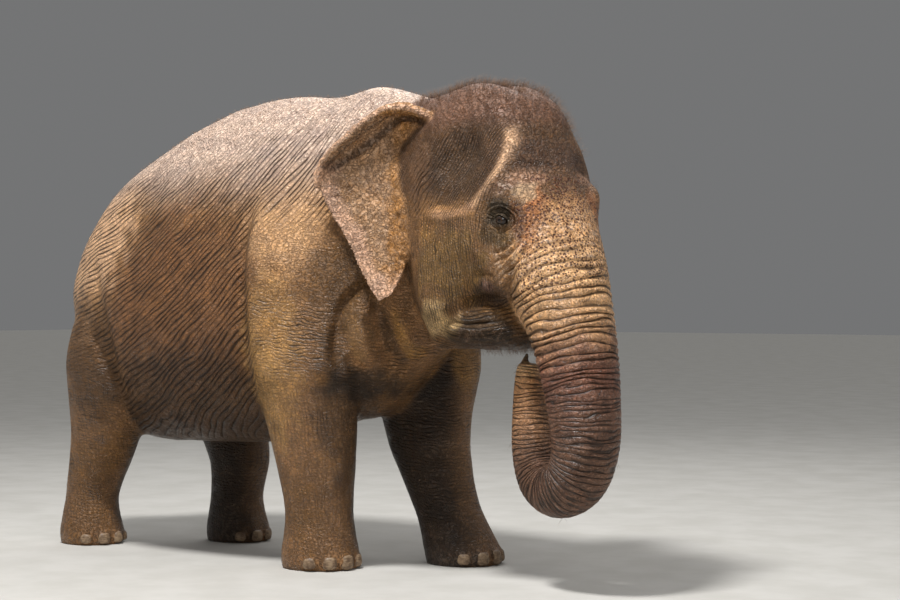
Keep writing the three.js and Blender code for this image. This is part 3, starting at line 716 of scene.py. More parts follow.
# ---------------- wrinkles
@dataclass(frozen=True)
class Lay:
    """One lay of wrinkles.

    Spacing and length in metres, depth as a share of the deepest, waviness, seed, how many creases
    run across a metre of them, how narrow the grooves are, and how deep those across them.
    """

    apart: float
    long: float
    deep: float
    wavy: float
    seed: int
    crossed: float
    narrow: float
    net: float = 0.48

    BEND_WIDE = 2.6
    FINE_SIZE = (2.7, 2.2, 2.2)
    FINE_START = 7.3
    FINE_SHARE = 0.35
    FADE_WIDE = 3.2
    FADE_START = 3.1
    CLEAR, CLEAR_CHANGE, CLEAR_LEAST = 0.88, 0.32, 0.45

    def _cells(self, wide: float, place: tuple) -> Array:
        """Places in cells a few wrinkles wide and one wrinkle long."""
        across, along, third = place
        return np.column_stack([across / (wide * self.apart), along / self.long, third / self.long])

    def phase(self, place: tuple) -> Array:
        """How many wrinkles lie before each place.

        Args:
            place: the coordinates across the wrinkles, along them and out of the skin, in metres.

        Returns:
            The count of wrinkles, bent by noise so that they wander.
        """
        cells = self._cells(self.BEND_WIDE, place)
        bend = Noise(self.seed)(cells)
        fine = Noise(self.seed + 1)(cells * np.array(self.FINE_SIZE) + self.FINE_START)
        return place[0] / self.apart + self.wavy * (bend + self.FINE_SHARE * fine)

    def strength(self, place: tuple) -> Array:
        """How clearly the wrinkles show at each place, from 0 to 1."""
        fade = Noise(self.seed + 2)(self._cells(self.FADE_WIDE, place) + self.FADE_START)
        return np.clip(self.CLEAR + self.CLEAR_CHANGE * fade, self.CLEAR_LEAST, 1.0)


LAYS = {
    "flank": Lay(0.0245, 0.21, 1.2, 0.62, 11, 9.0, 0.8, 0.26),
    "ring": Lay(0.0175, 0.078, 0.9, 0.85, 31, 24.0, 0.72, 0.62),
    "jaw": Lay(0.019, 0.11, 0.7, 0.6, 91, 20.0, 0.75),
    "cheek": Lay(0.0125, 0.08, 0.6, 0.9, 61, 62.0, 0.8, 0.78),
    "temple": Lay(0.014, 0.12, 0.62, 0.55, 71, 55.0, 0.8),
    "fan": Lay(0.027, 0.12, 1.1, 0.5, 81, 16.0, 0.6),
}
LAY_GROUPS = {"body": ("flank", "ring", "jaw"), "face": ("cheek", "temple", "fan")}


# ---------------- lids
@dataclass(frozen=True)
class EyeLids:
    """Lids round an eyeball, in metres from its middle: forward, up and out.

    Each fold above or below the opening has its distance from it, its depth and its width. Each
    crease behind the eye has its angle and depth. Each unevenness has its size, seed and cell.
    """

    ball: float = 0.029
    half_long: float = 0.033
    half_above: float = 0.0215
    half_below: float = 0.0175
    tilt: float = -0.36
    lid_thick: float = 0.0045
    blend: float = 0.07
    above: tuple = ((0.0095, 0.005, 0.0026), (0.02, 0.004, 0.003), (0.033, 0.008, 0.0042),
                    (0.049, 0.004, 0.0042))
    below: tuple = ((0.0085, 0.004, 0.0026), (0.017, 0.003, 0.003), (0.028, 0.0045, 0.0038))
    behind: tuple = ((0.28, 0.0045), (0.02, 0.005), (-0.24, 0.004))
    behind_wide: float = 0.06
    behind_near: Span = Span(0.03, 0.04)
    behind_far: Span = Span(0.085, 0.06)
    uneven: tuple = ((0.0042, 8, 0.034), (0.0016, 9, 0.013))
    rim: Bell = Bell(0.003, 0.0028)
    rim_lift: float = 0.0028
    most_sunk: float = 0.014
    upper: Span = Span(-0.006, 0.006)
    opening: Span = Span(1.03, 0.9)
    socket: float = 0.004

    def form(self, forward: Array, up: Array, out: Array) -> tuple[Array, Array]:
        """Where the skin lies round the eye.

        Args:
            forward: distance towards the trunk from the eye's middle.
            up: distance above it.
            out: how far out the plain skin lies.

        Returns:
            How far each point lies outside the opening, and how far out the formed skin lies.
        """
        along = forward * math.cos(self.tilt) + up * math.sin(self.tilt)
        height = -forward * math.sin(self.tilt) + up * math.cos(self.tilt)
        half = np.where(height > 0, self.half_above, self.half_below)
        ring = np.hypot(along / self.half_long, height / half)
        away = np.hypot(along, height)
        outside = away * (1 - 1 / np.maximum(ring, 1e-3))
        place = np.column_stack([forward, up, np.zeros(len(up))])
        bent = outside
        for size, seed, cell in self.uneven:
            bent = bent + size * Noise(seed)(place / cell)
        shell = self.ball + self.lid_thick
        dome = np.sqrt(np.maximum(shell**2 - np.minimum(away, shell * 0.98) ** 2, 0.0))
        near = rise(away, self.blend, self.ball * 1.05)
        lid = out + near * (np.maximum(dome, out - self.most_sunk) - out)
        lid = lid + self.rim_lift * self.rim(outside)
        upper = self.upper(height)
        for folds, share in ((self.above, upper), (self.below, 1 - upper)):
            for far, depth, wide in folds:
                lid = lid - share * depth * hill(bent, far, wide)
                lid = lid + share * 0.5 * depth * hill(bent, far + 1.9 * wide, 1.4 * wide)
        angle = np.arctan2(height, -along)
        behind = self.behind_near(away) * self.behind_far(away)
        for turn, depth in self.behind:
            lid = lid - behind * depth * hill(angle, turn, self.behind_wide)
        inside = self.opening(ring)
        return outside, lid * (1 - inside) + inside * self.socket


# ---------------- the hide
@dataclass(frozen=True)
class HideZones:
    """Where the hide's forms and lays of wrinkles begin and end.

    Lengths are metres along the animal's axes, or along the unturned head's for head, trunk and ear.
    """

    tip_near: Span = Span(0.16, 0.07)
    ear_tip: Span = Span(1.36, 1.28)
    sole: Span = Span(0.03, 0.008)
    fold_side: Span = Span(0.05, 0.35)
    fold_head: Span = Span(1.3, 1.36)
    fold_ear: Span = Span(0.0, 0.4)
    fold_body: Span = Span(0.08, 0.2)
    eye_form: Span = Span(0.125, 0.095)
    nose_start: Span = Span(0.1, 0.24)
    nose_ahead: Span = Span(-0.17, -0.08)
    shoulder_x: Span = Span(0.33, 0.5)
    shoulder_z: Span = Span(1.8, 1.5)
    back_z: Span = Span(1.82, 2.04)
    back_x: Span = Span(0.3, 0.02)
    withers_z: Span = Span(1.98, 2.16)
    withers_x: Span = Span(0.02, 0.3)
    side_on: Span = Span(0.15, 0.55)
    breast_z: Span = Span(1.45, 1.15)
    arm_edge_x: Bell = Bell(0.46, 0.1)
    arm_edge_z: Bell = Bell(1.22, 0.22)
    arm_z: Span = Span(0.7, 0.95)
    thigh_z: Span = Span(0.75, 1.05)
    low_leg_z: Span = Span(1.02, 0.78)
    low_leg_foot: Span = Span(0.04, 0.12)
    foot_z: Span = Span(0.03, 0.12)
    off_head: Span = Span(0.4, 0.1)
    trunk_ring: Span = Span(0.16, 0.42)
    trunk_deep: Span = Span(0.3, 0.6)
    cheek_z: Span = Span(1.7, 1.62)
    jaw_z: Span = Span(1.33, 1.24)
    temple_x: Span = Span(1.8, 1.9)
    crown_z: Span = Span(2.0, 2.14)
    fan_x: Bell = Bell(1.4, 0.1)
    fan_z: Bell = Bell(1.82, 0.15)
    ear_only: Span = Span(0.6, 0.9)
    off_ear: Span = Span(0.4, 0.1)
    eye_near: Span = Span(0.062, 0.04)
    sag_z: Span = Span(0.1, 0.4)


@dataclass
class Hide:
    """The elephant's one skin, laid over the solids of flesh."""

    measures: Measures
    shift: float
    zones: HideZones = HideZones()
    voxel: float = 0.0085
    relax_steps: int = 34
    blend_steps: int = 6
    blend_share: float = 0.7
    fine_from: float = 1.02
    eye_patch: float = 0.1
    eye_ring: tuple = (0.05, 0.1)
    eye_reach: float = 0.13
    eye_depth: float = -0.03
    flank_centre: tuple = (-1.347, 2.965)
    flank_radius: float = 2.1
    trunk_spacing: tuple = ((0.0, 0.7, 0.95, 3.0), (0.035, 0.032, 0.022, 0.02))
    crease_depth: float = 0.0055
    edges_a_wrinkle: Span = Span(3.5, 8.0)
    least_weight: float = 0.01
    pebble: tuple = (5, 0.014, 0.0028)
    lump: tuple = (6, 0.045, 0.0042)
    grain: tuple = (4, 0.024, 0.003)
    skin_pebble: float = 0.0005
    sag: tuple = (7, 0.17, 0.0045)

    EASE = {
        Region.BODY: 0.65, Region.HEAD: 0.34, Region.TRUNK: 0.26, Region.EAR: 0.05,
        Region.FORELEG: 0.45, Region.HINDLEG: 0.45, Region.FOOT: 0.16, Region.TAIL: 0.16,
    }
    FINE = (Region.HEAD, Region.TRUNK, Region.EAR)

    def build(self) -> Object:
        """Makes the skin: remeshed, relaxed, refined, folded and wrinkled.

        Returns:
            The skin's object, with the attributes its material reads.
        """
        mesh, marks = self._remesh()
        LOG.info("hide remeshed: %d points", len(mesh.points))
        spread = mesh.spreader()
        for _ in range(self.blend_steps):
            marks = spread(marks, self.blend_share)
        mesh = self._relax(mesh, marks, spread)
        self.mesh, self.marks = self._refine(mesh, marks)
        LOG.info("hide refined: %d points", len(self.mesh.points))
        self._fold()
        self._seat_eyes()
        self._lay_wrinkles()
        self._press()
        made = self.mesh.to_object("hide", self.shift)
        self._store(made)
        return made

    def share(self, region: Region) -> Array:
        """How far each point belongs to a region."""
        return self.marks[:, list(Region).index(region)]

    def shares(self, *regions: Region) -> list[Array]:
        """How far each point belongs to each of some regions."""
        return [self.share(region) for region in regions]

    def _remesh(self) -> tuple[QuadMesh, Array]:
        """Lays one closed mesh round all flesh solids.

        Returns:
            The mesh, and for each point a share of 1 in the region of its nearest solid.
        """
        points, faces, regions = [], [], []
        start = 0
        for order, region in enumerate(Region):
            for name in region.value:
                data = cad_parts[name].data
                data.calc_loop_triangles()
                own = np.empty(len(data.vertices) * 3, dtype=np.float32)
                data.vertices.foreach_get("co", own)
                corners = np.empty(len(data.loop_triangles) * 3, dtype=np.int32)
                data.loop_triangles.foreach_get("vertices", corners)
                points.append(own.reshape(-1, 3).astype(float))
                faces.append(corners.reshape(-1, 3) + start)
                regions.append(np.full(len(faces[-1]), order))
                start += len(points[-1])
        points, faces, regions = np.vstack(points), np.vstack(faces), np.concatenate(regions)
        rough = object_from("rough", points, faces.ravel(), np.full(len(faces), 3))
        change = rough.modifiers.new("Remesh", "REMESH")
        change.mode = "VOXEL"
        change.voxel_size = self.voxel
        done = rough.evaluated_get(bpy.context.evaluated_depsgraph_get()).to_mesh()
        skin = np.empty(len(done.vertices) * 3, dtype=np.float32)
        done.vertices.foreach_get("co", skin)
        corners = np.empty(len(done.loops), dtype=np.int32)
        done.loops.foreach_get("vertex_index", corners)
        skin = skin.reshape(-1, 3).astype(float)
        bpy.data.objects.remove(rough)
        tree = BVHTree.FromPolygons(points.tolist(), faces.tolist())
        near = np.array([tree.find_nearest(p)[2] for p in skin.tolist()])
        marks = np.zeros((len(skin), len(Region)))
        marks[np.arange(len(skin)), regions[near]] = 1.0
        return QuadMesh(skin - np.array([self.shift, 0, 0]), corners.reshape(-1, 4).astype(np.int64)), marks

    def _relax(self, mesh: QuadMesh, marks: Array, spread: Callable[[Array, Array], Array]) -> QuadMesh:
        """Evens out the solids' facets and seams, gently on ears and fine forms.

        Args:
            mesh: the mesh.
            marks: how far its points belong to the regions.
            spread: the function that blends values with their neighbours.

        Returns:
            The evened mesh.
        """
        weight = marks @ np.array([self.EASE[region] for region in Region])
        from_tip = np.linalg.norm(
            self.measures.to_head(mesh.points) - np.array(self.measures.trunk_tip), axis=1)
        weight = weight * (1 - 0.75 * self.zones.tip_near(from_tip))
        ear = marks[:, list(Region).index(Region.EAR)]
        weight = weight + 0.16 * (ear * self.zones.ear_tip(mesh.points[:, 2]))
        weight = weight * (1 - 0.8 * self.zones.sole(mesh.points[:, 2]))
        points = mesh.points
        for _ in range(self.relax_steps):
            points = spread(points, weight[:, None])
        points[:, 2] = np.maximum(points[:, 2], 0.0)
        return QuadMesh(points, mesh.corners, mesh.middles)

    def _refine(self, mesh: QuadMesh, marks: Array) -> tuple[QuadMesh, Array]:
        """Splits the faces of head, trunk, ears and eyes for their finer forms.

        Args:
            mesh: the mesh.
            marks: how far its points belong to the regions.

        Returns:
            The finer mesh and its marks.
        """
        head = self.measures.to_head(mesh.points[mesh.corners].mean(1))
        columns = [list(Region).index(region) for region in self.FINE]
        fine = marks[:, columns].sum(1)[mesh.corners].mean(1)
        mesh, marks = mesh.refine((fine > 0.5) & (head[:, 0] > self.fine_from), marks)
        middle = mesh.points[mesh.corners].mean(1)
        near = np.zeros(len(middle), dtype=bool)
        for side in SIDES:
            near |= np.linalg.norm(middle - self.eye_centre(side), axis=1) < self.eye_patch
        return mesh.refine(near, marks)

    def eye_centre(self, side: str) -> Array:
        """The middle of an eyeball."""
        low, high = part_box(f"eye_{side}")
        return (np.array(low) + np.array(high)) / 2 - np.array([self.shift, 0, 0])

    def _fold(self) -> None:
        """Raises the ridges and sinks the grooves of head, ears and body."""
        points, zones = self.mesh.points, self.zones
        normals = self.mesh.normals()
        head = self.measures.to_head(points)
        side_on = zones.fold_side(np.abs(normals[:, 1]))
        on_head, trunk, ear, body, fore, hind = self.shares(
            Region.HEAD, Region.TRUNK, Region.EAR, Region.BODY, Region.FORELEG, Region.HINDLEG)
        outward = normals[:, 1] * np.sign(points[:, 1])
        flesh = np.clip(body + fore + hind, 0, 1)
        plan = (
            (HEAD_FOLDS, head, (on_head + trunk) * side_on * zones.fold_head(head[:, 0])),
            (EAR_FOLDS, head, ear * zones.fold_ear(outward)),
            (BODY_FOLDS, points, flesh * side_on * (1 - ear) * zones.fold_body(np.abs(points[:, 1]))),
        )
        lift = np.zeros(len(points))
        for folds, places, weight in plan:
            where = np.where(weight > 0.02)[0]
            flat = places[where][:, [0, 2]]
            on_left = points[where, 1] > 0
            lift[where] += weight[where] * sum(fold.height(flat, on_left) for fold in folds)
        points += normals * lift[:, None]

    def _seat_eyes(self) -> None:
        """Forms thick lids round each eyeball and folds round the lids."""
        points = self.mesh.points
        normals = self.mesh.normals()
        self.from_eye = np.full(len(points), np.inf)
        self.eye_axes = {}
        for side in SIDES:
            centre = self.eye_centre(side)
            gap = np.linalg.norm(points - centre, axis=1)
            shell = (gap > self.eye_ring[0]) & (gap < self.eye_ring[1])
            out = unit(normals[shell].mean(0))
            across = unit(np.cross(np.array([0, 0, 1.0]), out))
            up = np.cross(out, across)
            self.eye_axes[side] = (centre, across, up, out)
            near = np.where((gap < self.eye_reach) & ((points - centre) @ out > self.eye_depth))[0]
            local = (points[near] - centre) @ np.column_stack([across, up, out])
            forward = local[:, 0] * (1 if across[0] > 0 else -1)
            outside, depth = EyeLids().form(forward, local[:, 1], local[:, 2])
            ease = self.zones.eye_form(gap[near])
            self.from_eye[near] = np.minimum(self.from_eye[near], np.maximum(outside, 0.0))
            points[near] += np.outer(ease * (depth - local[:, 2]), out)

    def _lay_wrinkles(self) -> None:
        """Finds, for every lay, how many wrinkles lie before each point and how deep they are."""
        head = self.measures.to_head(self.mesh.points)
        on_head, trunk, ear = self.shares(Region.HEAD, Region.TRUNK, Region.EAR)
        self.run = self._trunk_run(head)
        ahead = head[:, 0] - self.measures.trunk_middle(head[:, 2])
        nose = on_head * self.zones.nose_start(self.run) * self.zones.nose_ahead(ahead)
        self.on_trunk = np.clip(trunk + nose, 0, 1)
        on_front = trunk + on_head > 0.5
        spacing = np.interp(self.run, *self.trunk_spacing)
        places = self._wrinkle_places(head, on_front, spacing)
        weights = self._wrinkle_weights(head, on_front)
        edge = np.where(on_front | (ear > 0.5), 0.5 * self.voxel, self.voxel)
        self.lays, self.pressed = {}, {}
        for name, lay in LAYS.items():
            apart = np.where(on_front, spacing, lay.apart) if name == "ring" else lay.apart
            self.pressed[name] = self.edges_a_wrinkle(apart / edge)
            across, along, third = places[name]
            weight = weights[name]
            shown = weight > self.least_weight
            picked = (across[shown], along[shown], third[shown])
            phase = across / lay.apart
            phase[shown] = lay.phase(picked)
            strength = np.zeros(len(phase))
            strength[shown] = lay.strength(picked) * weight[shown]
            self.lays[name] = (phase, along, strength)

    def _trunk_run(self, head: Array) -> Array:
        """How far along the trunk's middle line each point of head and trunk lies.

        Args:
            head: the points in the unturned head's axes.

        Returns:
            Lengths from the root of the trunk, and 0 elsewhere.
        """
        run = np.zeros(len(head))
        near = np.where(self.share(Region.TRUNK) + self.share(Region.HEAD) > 0.02)[0]
        run[near] = nearest_on(self.measures.trunk_path(), head[near])[1]
        return run

    def _wrinkle_places(self, head: Array, on_front: Array, spacing: Array) -> dict[str, tuple]:
        """The coordinates in which each lay of wrinkles is drawn.

        Args:
            head: the points in the unturned head's axes.
            on_front: which points lie on head and trunk.
            spacing: how far apart the trunk's rings lie at each point.

        Returns:
            For each lay the coordinates across the wrinkles, along them and out of the skin.
        """
        x, y, z = self.mesh.points.T
        hx, hy, hz = head.T
        fore, hind, foot, ear = self.shares(Region.FORELEG, Region.HINDLEG, Region.FOOT, Region.EAR)
        cx, cz = self.flank_centre
        apart = LAYS["ring"].apart
        steps = np.linspace(0, 3, 600)
        density = 1 / np.interp(steps, *self.trunk_spacing)
        count = np.concatenate([[0], np.cumsum((density[1:] + density[:-1]) / 2 * np.diff(steps))])
        squeeze = apart / spacing
        trunk = (np.interp(self.run, steps, count) * apart, hy * 0.5 * squeeze, 0.5 * (hx + hz) * squeeze)
        legs = (z + 0.1 * x, x, y)
        on_ear = ear > 0.5
        on_leg = fore + hind + foot > 0.4
        on_shin = 0.46 * (x - 0.8 * np.abs(y) + 0.16 * z)
        return {
            "flank": (np.hypot(x - cx, z - cz), np.arctan2(z - cz, x - cx) * self.flank_radius, y),
            "ring": tuple(np.where(on_front, a, b) for a, b in zip(trunk, legs)),
            "jaw": (hz - 1.2 * (hx - 1.66) ** 2, hx, hy),
            "cheek": (np.where(on_leg, on_shin, hx * 0.94 - np.abs(hy) * 0.34),
                      np.where(on_leg, 0.6 * z, hz), hy),
            "temple": (hx * 0.9 - hz * 0.44, hz, hy),
            "fan": (np.where(on_ear, 1.2 * hz + 0.5 * hx, hx * 0.72 - hz * 0.69),
                    np.where(on_ear, 1.4 * (hx - hz), hx + hz), hy),
        }

    def _wrinkle_weights(self, head: Array, on_front: Array) -> dict[str, Array]:
        """How strongly each lay of wrinkles shows.

        Args:
            head: the points in the unturned head's axes.
            on_front: which points lie on head and trunk.

        Returns:
            A weight for each lay and point.
        """
        points, zones = self.mesh.points, self.zones
        x, y, z = points.T
        hx, _, hz = head.T
        body, on_head, trunk, ear, fore, hind, foot, tail = self.shares(
            Region.BODY, Region.HEAD, Region.TRUNK, Region.EAR, Region.FORELEG, Region.HINDLEG,
            Region.FOOT, Region.TAIL)
        ragged = 0.05 * Noise(12)(points / 0.12)
        patchy = np.clip(0.72 + 0.7 * Noise(13)(points / np.array([0.2, 0.2, 0.13])), 0.12, 1.0)
        on_right = y < 0
        shoulder = zones.shoulder_x(x + ragged) * zones.shoulder_z(z + ragged)
        top = zones.back_z(z) * zones.back_x(x) + 0.75 * zones.withers_z(z) * zones.withers_x(x)
        outward = 0.2 + 0.8 * zones.side_on(np.abs(self.mesh.normals()[:, 1]))
        thigh = zones.thigh_z(z)
        arm = np.where(on_right, 0.45 + 0.55 * zones.arm_z(z), 1.0)
        breast = 0.26 + 0.56 * zones.breast_z(z) + 0.45 * zones.arm_edge_x(x) * zones.arm_edge_z(z)
        low_leg = fore * np.where(on_right, 1.0, 0.35) + 0.8 * hind + 0.6 * foot
        low_leg = low_leg * zones.low_leg_z(z) * zones.low_leg_foot(z)
        limbs = np.clip(
            body * shoulder * breast + fore * arm + tail + hind * (1 - 0.5 * thigh) + foot * 0.5, 0, 1)
        rings = (1 - 0.45 * low_leg) * np.where(on_front, 1.0, patchy) * limbs
        off_eye = 1 - zones.eye_near(self.from_eye)
        face = on_head * (1 - self.on_trunk) * off_eye
        trunk_rings = self.on_trunk * off_eye * zones.trunk_ring(self.run)
        trunk_rings = trunk_rings * (0.7 + 0.3 * zones.trunk_deep(self.run))
        cheek, jaw = zones.cheek_z(hz), zones.jaw_z(hz - 0.5 * (hx - 1.75))
        fan = zones.fan_x(hx) * zones.fan_z(hz)
        bare = 1 - 0.8 * zones.crown_z(hz)
        return {
            "flank": (body * (1 - shoulder) + 0.5 * hind * thigh) * (1 - 0.75 * top) * outward,
            "ring": rings * zones.foot_z(z) * zones.off_head(trunk + on_head) + trunk_rings * 1.25,
            "jaw": face * jaw,
            "cheek": face * cheek * (1 - jaw) + 0.6 * low_leg * patchy,
            "temple": face * (1 - cheek) * (1 - fan) * bare * (1 - zones.temple_x(hx)),
            "fan": face * fan * bare * zones.off_ear(ear) + 0.07 * zones.ear_only(ear),
        }

    def _press(self) -> None:
        """Cuts the wrinkles' main lines into the mesh, and makes it uneven as flesh is."""
        points = self.mesh.points
        normals = self.mesh.normals()
        sink = np.zeros(len(points))
        for name, (phase, _, strength) in self.lays.items():
            depth = self.crease_depth * LAYS[name].deep * self.pressed[name]
            sink -= depth * strength * (0.5 + 0.5 * np.cos(2 * np.pi * phase))
        pebble, lump, grain, sag = (
            Noise(seed)(points / cell) for seed, cell, _ in (self.pebble, self.lump, self.grain, self.sag))
        body, fore, hind, ear = self.shares(Region.BODY, Region.FORELEG, Region.HINDLEG, Region.EAR)
        sink += (ear * (self.pebble[2] * pebble + self.lump[2] * lump + self.grain[2] * grain)
                 + (1 - ear) * self.skin_pebble * pebble)
        sink += self.sag[2] * sag * (body + fore + hind) * self.zones.sag_z(points[:, 2])
        points += normals * sink[:, None]
        points[:, 2] = np.maximum(points[:, 2], 0.0)

    def _store(self, made: Object) -> None:
        """Keeps what the material reads: colour, marks and the lays of wrinkles.

        Args:
            made: the hide's object.
        """
        tint, marks = HidePaint(self).coat()
        count = len(self.mesh.points)
        add_attribute(made, "tint", "FLOAT_COLOR", np.column_stack([tint, np.ones(count)]))
        add_attribute(made, "marks", "FLOAT_VECTOR", marks)
        for group, names in LAY_GROUPS.items():
            for part, title in enumerate(("phase", "along", "depth")):
                values = np.column_stack([self.lays[name][part] for name in names])
                add_attribute(made, f"{title}_{group}", "FLOAT_VECTOR", values)


# ---------------- colours of the hide
class Axes(Enum):
    """The axes a patch of colour is placed in."""

    BODY = "body"
    HEAD = "head"


@dataclass(frozen=True)
class Patch:
    """A soft patch of colour: middle and reach along x, out and up, and its share on the left."""

    name: str
    code: str
    middle: tuple
    reach: tuple
    share: float
    ragged: float = 0.3
    left: float = 1.0


PATCHES = {
    Axes.BODY: (
        # painted shade: the flank darker below the back's curve, its lower part darker still
        Patch("dark flank", "6f4a30", (-0.06, 0.6, 1.28), (0.6, 0.35, 0.48), 0.7),
        Patch("low flank", "3f270b", (-0.1, 0.45, 0.82), (0.7, 0.35, 0.26), 0.7),
        # painted light: the shoulder's top paler where the top light falls
        Patch("shoulder", "b89476", (0.55, 0.48, 1.66), (0.22, 0.25, 0.3), 0.8),
        Patch("upper arm", "bd9463", (0.5, 0.52, 1.05), (0.17, 0.2, 0.4), 0.7),
        # painted highlight along the foreleg's rear edge, then painted shade on its front
        Patch("arm gold", "b8925f", (0.42, 0.52, 0.84), (0.1, 0.24, 0.34), 0.45, 0.45),
        Patch("arm front", "3e2b17", (0.77, 0.34, 0.7), (0.085, 0.26, 0.34), 0.6, 0.45),
        # painted shade in the arm crease
        Patch("arm hollow", "3a2a18", (0.795, 0.4, 1.1), (0.05, 0.2, 0.24), 0.4),
        # painted highlight on the breast swell
        Patch("breast", "9a7a58", (0.885, 0.36, 1.15), (0.055, 0.25, 0.15), 0.7),
        # painted shade in the breast crease
        Patch("breast hollow", "2f2112", (0.98, 0.32, 1.08), (0.036, 0.25, 0.2), 0.65),
        Patch("second breast", "9b7644", (1.055, 0.28, 1.04), (0.038, 0.22, 0.2), 0.7),
        # painted shadow under the breast
        Patch("under the breast", "1a1108", (0.87, 0.32, 0.87), (0.15, 0.35, 0.09), 0.78),
        # painted light: the hip paler where the top light falls
        Patch("hip", "dcb79f", (-0.84, 0.45, 1.62), (0.34, 0.36, 0.46), 0.78, 0.4, 0.6),
        Patch("thigh", "573d22", (-0.78, 0.48, 1.0), (0.22, 0.3, 0.34), 0.75),
        # painted shadow under the ear
        Patch("under the ear", "543c22", (0.82, 0.42, 1.36), (0.16, 0.2, 0.24), 0.7),
    ),
    Axes.HEAD: (
        # painted shade in the temple hollow
        Patch("temple", "493420", (1.62, 0.3, 1.87), (0.17, 0.2, 0.17), 0.85),
        Patch("ear foot", "6d5039", (1.36, 0.33, 1.84), (0.08, 0.15, 0.18), 0.6),
        # painted highlight along the cheekbone ridge
        Patch("cheekbone", "b8895a", (1.56, 0.34, 1.672), (0.17, 0.15, 0.032), 0.8),
        Patch("cheek gold", "a37543", (1.46, 0.34, 1.585), (0.11, 0.2, 0.075), 0.75),
        Patch("cheek olive", "8a6a38", (1.58, 0.32, 1.45), (0.22, 0.25, 0.17), 0.65, 0.6),
        # painted shade on the lower jaw
        Patch("jaw", "2c1e0a", (1.71, 0.3, 1.165), (0.17, 0.3, 0.085), 0.8),
        Patch("cheek hem", "c8a878", (1.46, 0.3, 1.19), (0.13, 0.22, 0.08), 0.82, 0.5),
        Patch("mouth", "3d2c24", (1.76, 0.25, 1.3), (0.11, 0.2, 0.055), 0.7),
        Patch("knob", "7d5c50", (1.77, 0.25, 1.35), (0.05, 0.2, 0.03), 0.6),
        # painted shade under the chin
        Patch("chin", "291c0a", (1.68, 0.15, 1.08), (0.3, 0.3, 0.075), 0.85),
        Patch("brow", "4e3626", (1.93, 0.08, 1.925), (0.08, 0.17, 0.085), 0.85),
        Patch("nose side", "a76b3f", (1.99, 0.2, 1.64), (0.06, 0.1, 0.16), 0.8),
        Patch("nose front", "b5875c", (2.05, 0.05, 1.56), (0.08, 0.16, 0.2), 0.65),
        Patch("brow foot", "8a6850", (1.955, 0.2, 1.82), (0.065, 0.11, 0.045), 0.7),
        Patch("cream", "bba182", (1.972, 0.225, 1.752), (0.034, 0.06, 0.055), 0.64, 0.9, 0.3),
        # painted shade in the eye's hollow
        Patch("eye hollow", "322a1c", (1.885, 0.29, 1.655), (0.088, 0.08, 0.074), 0.92),
        Patch("below the eye", "5a4420", (1.86, 0.29, 1.56), (0.085, 0.08, 0.05), 0.75),
        Patch("beside the eye", "6b4a30", (1.955, 0.24, 1.64), (0.03, 0.06, 0.09), 0.8),
    ),
}


@dataclass(frozen=True)
class Stroke:
    """A line of colour seen from the side, with how much of it shows on the animal's left."""

    code: str
    line: tuple
    wide: float
    share: float
    left: float = 0.3


STROKES = {
    Axes.BODY: (
        # painted shade along the shoulder's rear edge
        Stroke("35251a", ((0.395, 1.64), (0.372, 1.523), (0.378, 1.333), (0.372, 1.142), (0.34, 0.95)),
             0.04, 0.5),
    ),
    Axes.HEAD: (
        # painted highlights along the brow ridge and the cheekbone ridge
        Stroke("cfa682", ((1.852, 2.03), (1.868, 1.965), (1.866, 1.905), (1.85, 1.85), (1.815, 1.782),
             (1.76, 1.715)), 0.034, 0.72),
        Stroke("bb9377", ((1.74, 1.7), (1.69, 1.675), (1.614, 1.662), (1.52, 1.668)), 0.032, 0.42),
    ),
}


@dataclass(frozen=True)
class PaintZones:
    """Where the hide's large colours begin and end, in metres as for the hide's own zones."""

    brown_z: Span = Span(1.4, 1.9)
    olive_cloud: Span = Span(0.1, 0.6)
    olive_z: Span = Span(1.7, 1.3)
    belly_shade_z: Span = Span(0.95, 0.62)
    low_leg_z: Span = Span(0.8, 0.2)
    inward: Span = Span(-0.3, 0.9)
    cheek_shadow_x: Bell = Bell(1.325, 0.045)
    cheek_shadow_z: Span = Span(1.68, 1.58)
    dust_and_light_z: Span = Span(1.68, 2.02)
    crown_z: Span = Span(1.68, 1.8)
    crown_red_z: Span = Span(2.03, 2.12)
    face_z: Span = Span(1.88, 1.74)
    face_x: Span = Span(1.9, 1.98)
    red_run: Span = Span(0.5, 0.84)
    rust_run: Bell = Bell(0.78, 0.2)
    rise_run: Span = Span(1.6, 1.95)
    tip_run: Span = Span(1.96, 2.1)
    patch_edge: Span = Span(1.3, 0.55)
    stroke_y: Span = Span(0.1, 0.19)
    ear_gold_x: Span = Span(1.13, 1.2)
    ear_gold_cloud: Span = Span(0.0, 0.5)
    ear_margin_x: Span = Span(0.085, 0.045)
    ear_margin_z: Span = Span(1.95, 1.9)
    ear_tip_z: Span = Span(1.44, 1.34)
    freckle_z: Span = Span(1.87, 1.8)
    freckle_x: Span = Span(1.925, 1.965)
    freckle_run: Span = Span(0.6, 0.36)
    off_cream: Span = Span(0.8, 1.2)
    speckle_x: Bell = Bell(1.892, 0.034)
    speckle_z: Bell = Bell(1.77, 0.03)
    off_eye: Span = Span(0.03, 0.055)
    dark_z: Span = Span(1.85, 2.1)
    dark_x: Span = Span(0.3, -0.1)
    pale_z: Span = Span(1.6, 2.0)
    pale_run: Span = Span(0.9, 0.5)


